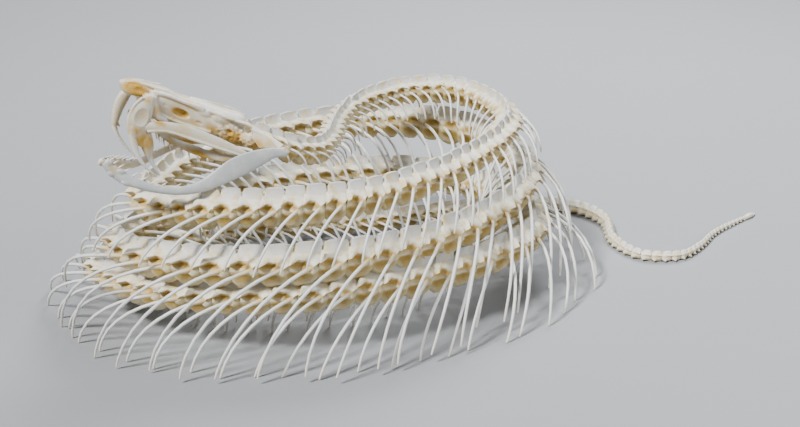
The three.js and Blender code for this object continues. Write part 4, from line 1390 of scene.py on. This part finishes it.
    # The sockets round the fangs' roots: height, its middle forward, half length, how far out, half width.
    front_seat: tuple = ((-8.4, 42.7, 1.7, 7, 1.1), (-10.6, 42.3, 1.75, 7.2, 1.25), (-12.2, 41.6, 1.5, 7.2, 1.15),
                         (-13.4, 40.9, 1.1, 7.2, 0.9))
    fang_seat: tuple = ((-9.6, 38.6, 1.6, 6.7, 0.8), (-11.5, 37.9, 2.6, 6.7, 1.2), (-13.6, 36.6, 2.5, 6.6, 1.25),
                        (-15.4, 35.3, 1.7, 6.4, 1.1), (-16.8, 34.5, 0.9, 6.3, 0.8))
    maxilla_stains: tuple = (
        Mark((37.6, 7.4, -12.8), (3.4, 3, 2.9), 1.1), Mark((41.6, 7.6, -10.6), (2.2, 2, 1.4), 0.8),
        Mark((38.9, 7.8, -7.2), (1.1, 2, 2.4), 0.6), Mark((42.2, 7.2, -1.4), (1.6, 2, 1.1), 0.6),
        Mark((41.9, 8, -5.6), (2.6, 2, 3.4), 0.3))
    fangs: dict = field(default_factory=lambda: {
        Side.LEFT: (FRONT_LEFT_FANG, REAR_LEFT_FANG),
        Side.RIGHT: (RIGHT_FANG,)})
    fang_corners: int = 16
    fang_steps: int = 7
    ectopterygoid: tuple = (
        (40.2, 7.3, -9, 1.3, 1.0), (36.6, 7.8, -7.6, 1.75, 0.9), (31.1, 8.6, -5.9, 1.8, 0.65),
        (24, 9.6, -5.2, 1.85, 0.55), (16, 11.2, -4.9, 1.55, 0.55), (9.5, 12.2, -4.9, 0.95, 0.5),
        (6.5, 12.6, -4.8, 0.4, 0.35))
    ectopterygoid_rim: tuple = (
        (38.5, 8.2, -9.6, 0.4, 0.5), (33.4, 8.7, -7.5, 0.4, 0.5), (25.1, 9.9, -6.8, 0.4, 0.45),
        (16.9, 11.4, -6.2, 0.4, 0.45), (9.8, 12.5, -5.6, 0.35, 0.4))
    pterygoid: tuple = (
        (35.4, 3.9, -8.4, 0.35, 0.35), (33.4, 4.2, -9.2, 0.8, 0.45), (30, 4.5, -10, 1, 0.5),
        (26.5, 5, -10.1, 1.15, 0.5), (22.5, 6, -10, 1.4, 0.5), (18, 8, -9.5, 1.3, 0.5),
        (12.5, 10.6, -8.1, 1.2, 0.55), (7, 12.6, -5.6, 0.85, 0.5), (3.4, 13.4, -3.2, 0.35, 0.3))
    palate_stains: tuple = (
        Mark((36.6, 7.8, -6), (3, 2, 0.9), 1.0), Mark((29, 4.6, -10.9), (4, 2, 1), 0.85),
        Mark((20, 7.2, -10.6), (5, 2.5, 1.2), 1.15), Mark((12, 11, -8.8), (3, 2, 1.1), 0.8))
    supratemporal: tuple = (
        (15.4, 6.5, 2.4, 0.3, 0.4), (10.5, 7.7, 3, 0.55, 0.75), (6, 9.7, 2.5, 0.6, 0.85),
        (3, 12.2, 2, 0.7, 0.75), (0.6, 14.6, 1.4, 0.9, 0.8))
    quadrate_shaft: tuple = (
        (9.4, 9.2, 2.2, 0.6, 0.45), (6, 11.1, 2.2, 0.55, 0.4), (3, 13.1, 1.6, 0.6, 0.45), (0.4, 14.9, 0.5, 1.0, 0.8))
    quadrate_plate: tuple = ((9.4, 9.1, 3), (8.4, 10.1, 0), (6, 11.8, -1.7), (0.9, 14.5, 1.2))
    plate_thickness: float = 0.55
    jaw_joint: tuple = ((0.2, 14.9, 0.4), (1.15, 0.95, 1.3))
    quadrate_stains: tuple = (
        Mark((7, 11.3, -1.2), (3.4, 3.4, 2.2), 0.8), Mark((4, 13, 0.4), (2.4, 2.4, 1.4), 0.45))
    lower_jaws: dict = field(default_factory=lambda: {
        Side.LEFT: LEFT_JAW,
        Side.RIGHT: RIGHT_JAW})
    jaw_grooves: tuple = (Mark((27, 13.3, -22.6), (4, 1.7, 0.5)), Mark((34.5, 11.2, -23.3), (3.6, 1.6, 0.5)))
    jaw_stains: dict = field(default_factory=lambda: {
        Side.LEFT: (Mark((42.6, 6.4, -23.6), (2.6, 2, 2), 0.5), Mark((36, 8, -26), (3, 2, 1), 0.25)),
        Side.RIGHT: (Mark((38, 8, -23.5), (3.5, 3, 2.4), 0.5), Mark((31, 11.5, -20.5), (6, 3, 3), 0.35))})
    chin_knobs: dict = field(default_factory=lambda: {
        Side.LEFT: (((44.1, 5.4, -22.7), (1.4, 0.9, 1.1)), ((42.2, 5.9, -25.3), (1.4, 0.9, 0.9)),
                    ((40, 6.6, -23.6), (1.5, 0.9, 0.8)), ((37.6, 7.5, -26.2), (1.6, 0.9, 0.7))),
        Side.RIGHT: (((42.2, 5.3, -24.8), (1.4, 1, 1)), ((40, 6, -25.6), (1.3, 0.9, 0.8)))})
    # Where a row of teeth stands on its bone, in shares of it, then the count and the longest tooth.
    jaw_row: tuple = (0.6, 0.985, 10, 2.5)
    palate_row: tuple = (0.06, 0.62, 9, 2.7)
    # A small tooth a unit long: half widths up its height, then how it leans, bends and rises.
    small_tooth: tuple = ((0, 0.15), (0.35, 0.13), (0.7, 0.085), (1, 0.02))
    tooth_lean: float = 0.55
    tooth_bend: float = 1.6
    tooth_rise: float = 0.86
    tooth_corners: int = 6
    tooth_seat: float = 0.75
    # A row's shortest tooth in shares of its longest, and the part of a half wave that its lengths follow.
    shortest_tooth: float = 0.72
    length_wave: tuple = (0.25, 0.6)

    def __post_init__(self) -> None:
        """Works out the skull's place in the frame and builds the recipe for its small teeth."""
        turn = Matrix.Rotation(math.radians(self.heading), 4, "Z")
        tip = Matrix.Rotation(math.radians(-self.nose_up), 4, "Y")
        shift = Matrix.Translation(Vector(np.array(self.place) + FRAME_SHIFT) * MM)
        self.to_frame = shift @ turn @ tip @ Matrix.Scale(MM, 4)
        self.recipe = Recipe("set_teeth", Tooth="Object", Finish="Material")
        self.recipe.set_on_points("Tooth", Scale=self.recipe.painted("size"))

    def build(self) -> None:
        """Builds and hands over every bone and tooth of the head."""
        self._cranium()
        tooth = self._small_tooth()
        for side in Side:
            self._maxilla(side)
            self._fangs(side)
            self._palate(side)
            self._quadrate(side)
            self._lower_jaw(side)
            self._row(tooth, "lower", f"lower_jaw_{side.word}", self.lower_jaws[side], side, self.jaw_row, 1)
            self._row(tooth, "palate", f"palate_{side.word}", self.pterygoid, side, self.palate_row, -1)
        bpy.data.objects.remove(tooth)

    def _finish(self, piece: Piece, finish: Material, node: str) -> None:
        """Moves a piece from the head's millimetres to the frame, dresses it and hands it over.

        Args:
            piece: The piece.
            finish: Its material.
            node: The frame's node that it stands for.
        """
        piece.data.transform(self.to_frame)
        piece.data.materials.clear()
        piece.data.materials.append(finish)
        piece.data.shade_smooth()
        hand_over(piece, [node])

    def _carve(self, form: BoneForm, node: str, dents: tuple, stains: tuple, fineness: float = 1.0,
               finish: Material | None = None, sides: tuple | None = None) -> None:
        """Fuses a bone's forms, dresses it and hands it over.

        Args:
            form: The bone's forms.
            node: The frame's node that it stands for.
            dents: Its dents, as they are on the left.
            stains: Its stains, as they are on the left.
            fineness: Size of its skin's faces, in shares of the skull's.
            finish: Its material, where it isn't the skull's.
            sides: The sides of the head that it is on, where there are two.
        """
        marks = (tuple(mark.on(side) for mark in kind for side in sides or (form.side,)) for kind in (dents, stains))
        self._finish(form.fuse(self.voxel * fineness, *marks), finish or self.finishes.skull, node)

    def _cranium(self) -> None:
        """Builds the braincase, brows, cheeks and snout as one bone."""
        form = BoneForm("cranium_bone")
        form.case(self.braincase)
        form.case(self.snout, squareness=self.snout_squareness)
        form.rod(self.crest)
        form.knob(*self.condyle)
        for form.side in Side:
            for rows in (self.roof_ridge, self.brow, self.wall, self.wall_ridge, self.cheek, self.ear_ridge):
                form.rod(rows)
            for middle, reach in self.knobs:
                form.knob(middle, reach)
        for middle, reach, crumbs in self.ear_masses:
            self._crumble(form, middle, reach, crumbs)
        self._carve(form, "cranium", self.skull_dents, self.skull_stains, sides=tuple(Side))

    def _crumble(self, form: BoneForm, middle: tuple, reach: tuple, crumbs: int) -> None:
        """Adds a rough mass to both sides of a form.

        Args:
            form: The form that it joins.
            middle: The left mass's middle.
            reach: Its reach along, across and up.
            crumbs: How many crumbs stand on it.
        """
        dice = np.random.default_rng(self.seed)
        spots = [((0.0, 0.0, 0.0), reach)]
        for _ in range(crumbs):
            turn, far = dice.uniform(0, 2 * math.pi), math.sqrt(dice.uniform(0, self.crumb_spread))
            size = dice.uniform(*self.crumb_size)
            spots.append(((far * math.cos(turn), math.sqrt(1 - far ** 2), far * math.sin(turn)),
                          [size * share for share in self.crumb_build]))
        for spot, spread in spots:
            place = [m + share * r for m, share, r in zip(middle, spot, reach)]
            for form.side in Side:
                form.knob(place, spread)

    def _maxilla(self, side: Side) -> None:
        """Builds one maxilla with its pit.

        Args:
            side: The side of the head that it is on.
        """
        form = BoneForm(f"maxilla_bone_{side.word}", side)
        form.stack(self.maxillae[side])
        form.stack(self.maxilla_ridges[0], self.ridge_corners)
        if side is Side.LEFT:
            form.stack(self.maxilla_ridges[1], self.ridge_corners)
            form.stack(self.front_seat)
            form.stack(self.fang_seat)
        self._carve(form, f"maxilla_{side.word}", (self.pit,), self.maxilla_stains, fineness=0.8)

    def _fangs(self, side: Side) -> None:
        """Builds one side's fangs, each painted from its root to its point.

        Args:
            side: The side of the head that they are on.
        """
        form = BoneForm(f"fangs_{side.word}", side)
        shares = []
        for rows in self.fangs[side]:
            form.rod(rows, self.fang_corners, self.fang_steps)
            rings = (len(rows) - 1) * self.fang_steps + 1
            shares.append(np.repeat(np.linspace(0, 1, rings), self.fang_corners))
        piece = form.plain()
        paint(piece, "share", np.concatenate(shares))
        self._finish(piece, self.finishes.tooth, f"maxilla_{side.word}")

    def _palate(self, side: Side) -> None:
        """Builds the two bars of one side's palate as one bone.

        Args:
            side: The side of the head that it is on.
        """
        form = BoneForm(f"palate_bars_{side.word}", side)
        for rows in (self.ectopterygoid, self.ectopterygoid_rim, self.pterygoid):
            form.rod(rows)
        self._carve(form, f"palate_{side.word}", (), self.palate_stains, fineness=0.85)

    def _quadrate(self, side: Side) -> None:
        """Builds the bar, the shaft and the thin plate that carry one jaw joint.

        Args:
            side: The side of the head that it is on.
        """
        form = BoneForm(f"quadrate_bone_{side.word}", side)
        form.rod(self.supratemporal)
        form.rod(self.quadrate_shaft)
        form.plate(self.quadrate_plate, self.plate_thickness)
        form.knob(*self.jaw_joint)
        self._carve(form, f"quadrate_{side.word}", (), self.quadrate_stains, fineness=0.75)

    def _lower_jaw(self, side: Side) -> None:
        """Builds one lower jaw, from its joint to the chin.

        Args:
            side: The side of the head that it is on.
        """
        form = BoneForm(f"lower_jaw_bone_{side.word}", side)
        form.rod(self.lower_jaws[side], corners=18, steps=6)
        for middle, reach in self.chin_knobs[side]:
            form.knob(middle, reach)
        self._carve(form, f"lower_jaw_{side.word}", self.jaw_grooves, self.jaw_stains[side],
                    finish=self.finishes.jaw if side is Side.LEFT else None)

    def _small_tooth(self) -> Piece:
        """Draws one small curved tooth that leans towards the throat.

        Returns:
            The tooth, a unit long.
        """
        form = BoneForm("small_tooth")
        form.loft([[(-self.tooth_lean * up ** self.tooth_bend + wide * math.cos(a), wide * math.sin(a),
                     self.tooth_rise * up) for a in turns(self.tooth_corners)] for up, wide in self.small_tooth])
        piece = form.plain()
        paint(piece, "share", np.repeat([up for up, _ in self.small_tooth], self.tooth_corners))
        piece.data.shade_smooth()
        return piece

    def _row(self, tooth: Piece, name: str, node: str, rows: tuple, side: Side, row: tuple, way: int) -> None:
        """Sets a row of small teeth along a bone.

        Args:
            tooth: The tooth that is repeated.
            name: What the row stands on.
            node: The frame's node that the row belongs to.
            rows: The bone's rod.
            side: The side of the head that it is on.
            row: The row's first and last share of the rod, its count and its longest tooth.
            way: 1 where the teeth point up, -1 where they point down.
        """
        first, last, count, longest = row
        start, stretch = self.length_wave
        dense = smooth_rows(rows, 12)
        points, sizes = [], []
        for i in range(count):
            share = mix(first, last, i / (count - 1))
            x, out, z, high, _ = dense[round_half_up(share * (len(dense) - 1))]
            wave = math.sin(math.pi * (start + stretch * i / count))
            length = longest * mix(self.shortest_tooth, 1.0, wave)
            points.append((x, side.value * out, z + way * high * self.tooth_seat))
            sizes.append((length, length, way * length))
        piece = new_piece(f"teeth_{name}_{side.word}", points, [])
        paint(piece, "size", sizes, "FLOAT_VECTOR")
        self.recipe.run(piece, Tooth=tooth, Finish=self.finishes.tooth)
        square_up(piece)
        self._finish(piece, self.finishes.tooth, node)


# ---------------------------------------------------------------- studio
@dataclass
class Studio:
    """The camera, a pale floor and soft light from both sides and above, in millimetres."""

    camera_place: tuple = (-9.95, -464.88, 193.9)
    camera_target: tuple = (-9.95, 0.22, 24.6)
    lens: float = 67.5
    sensor: float = 36.0
    floor_half: float = 4000.0
    # A far soft light, which reaches the whole floor: place, breadth in degrees, strength and colour.
    key: tuple = ((-340, -330, 560), 11.0, 4.3, (1.0, 0.99, 0.97))
    # Name, place, size, power in watts and colour of each near soft light.
    lights: tuple = (
        ("fill", (520, -260, 330), 300, 1.6, (0.95, 0.97, 1.0)),
        ("back", (120, 420, 520), 300, 3.4, (1.0, 1.0, 1.0)),
    )
    sky: tuple = (0.62, 0.64, 0.67)
    sky_strength: float = 0.2
    nearest: float = 10.0

    def build(self) -> None:
        """Puts up the floor, the lights and the camera."""
        half = self.floor_half * MM
        corners = [(-half, -half, 0), (half, -half, 0), (half, half, 0), (-half, half, 0)]
        floor = new_piece("studio_floor", corners, [(0, 1, 2, 3)])
        floor.data.materials.append(FloorFinish().make())
        scene = bpy.context.scene
        scene.world = bpy.data.worlds.new("studio_air")
        scene.world.use_nodes = True
        air = scene.world.node_tree.nodes["Background"]
        air.inputs["Color"].default_value = (*self.sky, 1.0)
        air.inputs["Strength"].default_value = self.sky_strength
        scene.view_settings.view_transform = "AgX"
        scene.view_settings.look = "AgX - Medium High Contrast"
        place, breadth, power, colour = self.key
        self._light("key", "SUN", place, power, colour).angle = math.radians(breadth)
        for name, place, size, power, colour in self.lights:
            self._light(name, "AREA", place, power, colour).size = size * MM
        camera = bpy.data.cameras.new("camera")
        camera.lens = self.lens
        camera.sensor_width = self.sensor
        camera.clip_start = self.nearest * MM
        scene.camera = self._stand(camera, self.camera_place)
        LOG.info("studio: %d lights, camera at %s", len(self.lights) + 1, self.camera_place)

    def _light(self, name: str, kind: str, place: tuple, power: float, colour: tuple) -> bpy.types.Light:
        """Puts up a light.

        Args:
            name: Its name.
            kind: Blender's word for what it is.
            place: Where it stands.
            power: Its strength.
            colour: Its colour.

        Returns:
            The light.
        """
        light = bpy.data.lights.new(name, kind)
        light.energy = power
        light.color = colour
        self._stand(light, place)
        return light

    def _stand(self, thing: bpy.types.ID, place: tuple) -> Piece:
        """Stands a light or a camera at a place, turned to the skeleton.

        Args:
            thing: The light or the camera.
            place: Where it stands.

        Returns:
            The object that holds it.
        """
        stand = bpy.data.objects.new(thing.name, thing)
        here = Vector(place) * MM
        way = Vector(self.camera_target) * MM - here
        stand.matrix_world = Matrix.Translation(here) @ way.to_track_quat("-Z", "Y").to_matrix().to_4x4()
        bpy.context.scene.collection.objects.link(stand)
        return stand


def main() -> None:
    """Builds the skeleton and its studio, in order."""
    logging.basicConfig(level=logging.INFO, format="%(name)s: %(message)s")
    Studio().build()
    finishes = Finishes()
    backbone = Backbone()
    LOG.info("backbone: %.0f mm, %d vertebrae, %d with ribs",
             backbone.length, len(backbone.vertebrae), backbone.ribbed)
    VertebralColumn(backbone, finishes).build()
    RibCage(backbone, finishes).build()
    Skull(finishes).build()


if __name__ == "__main__":
    main()
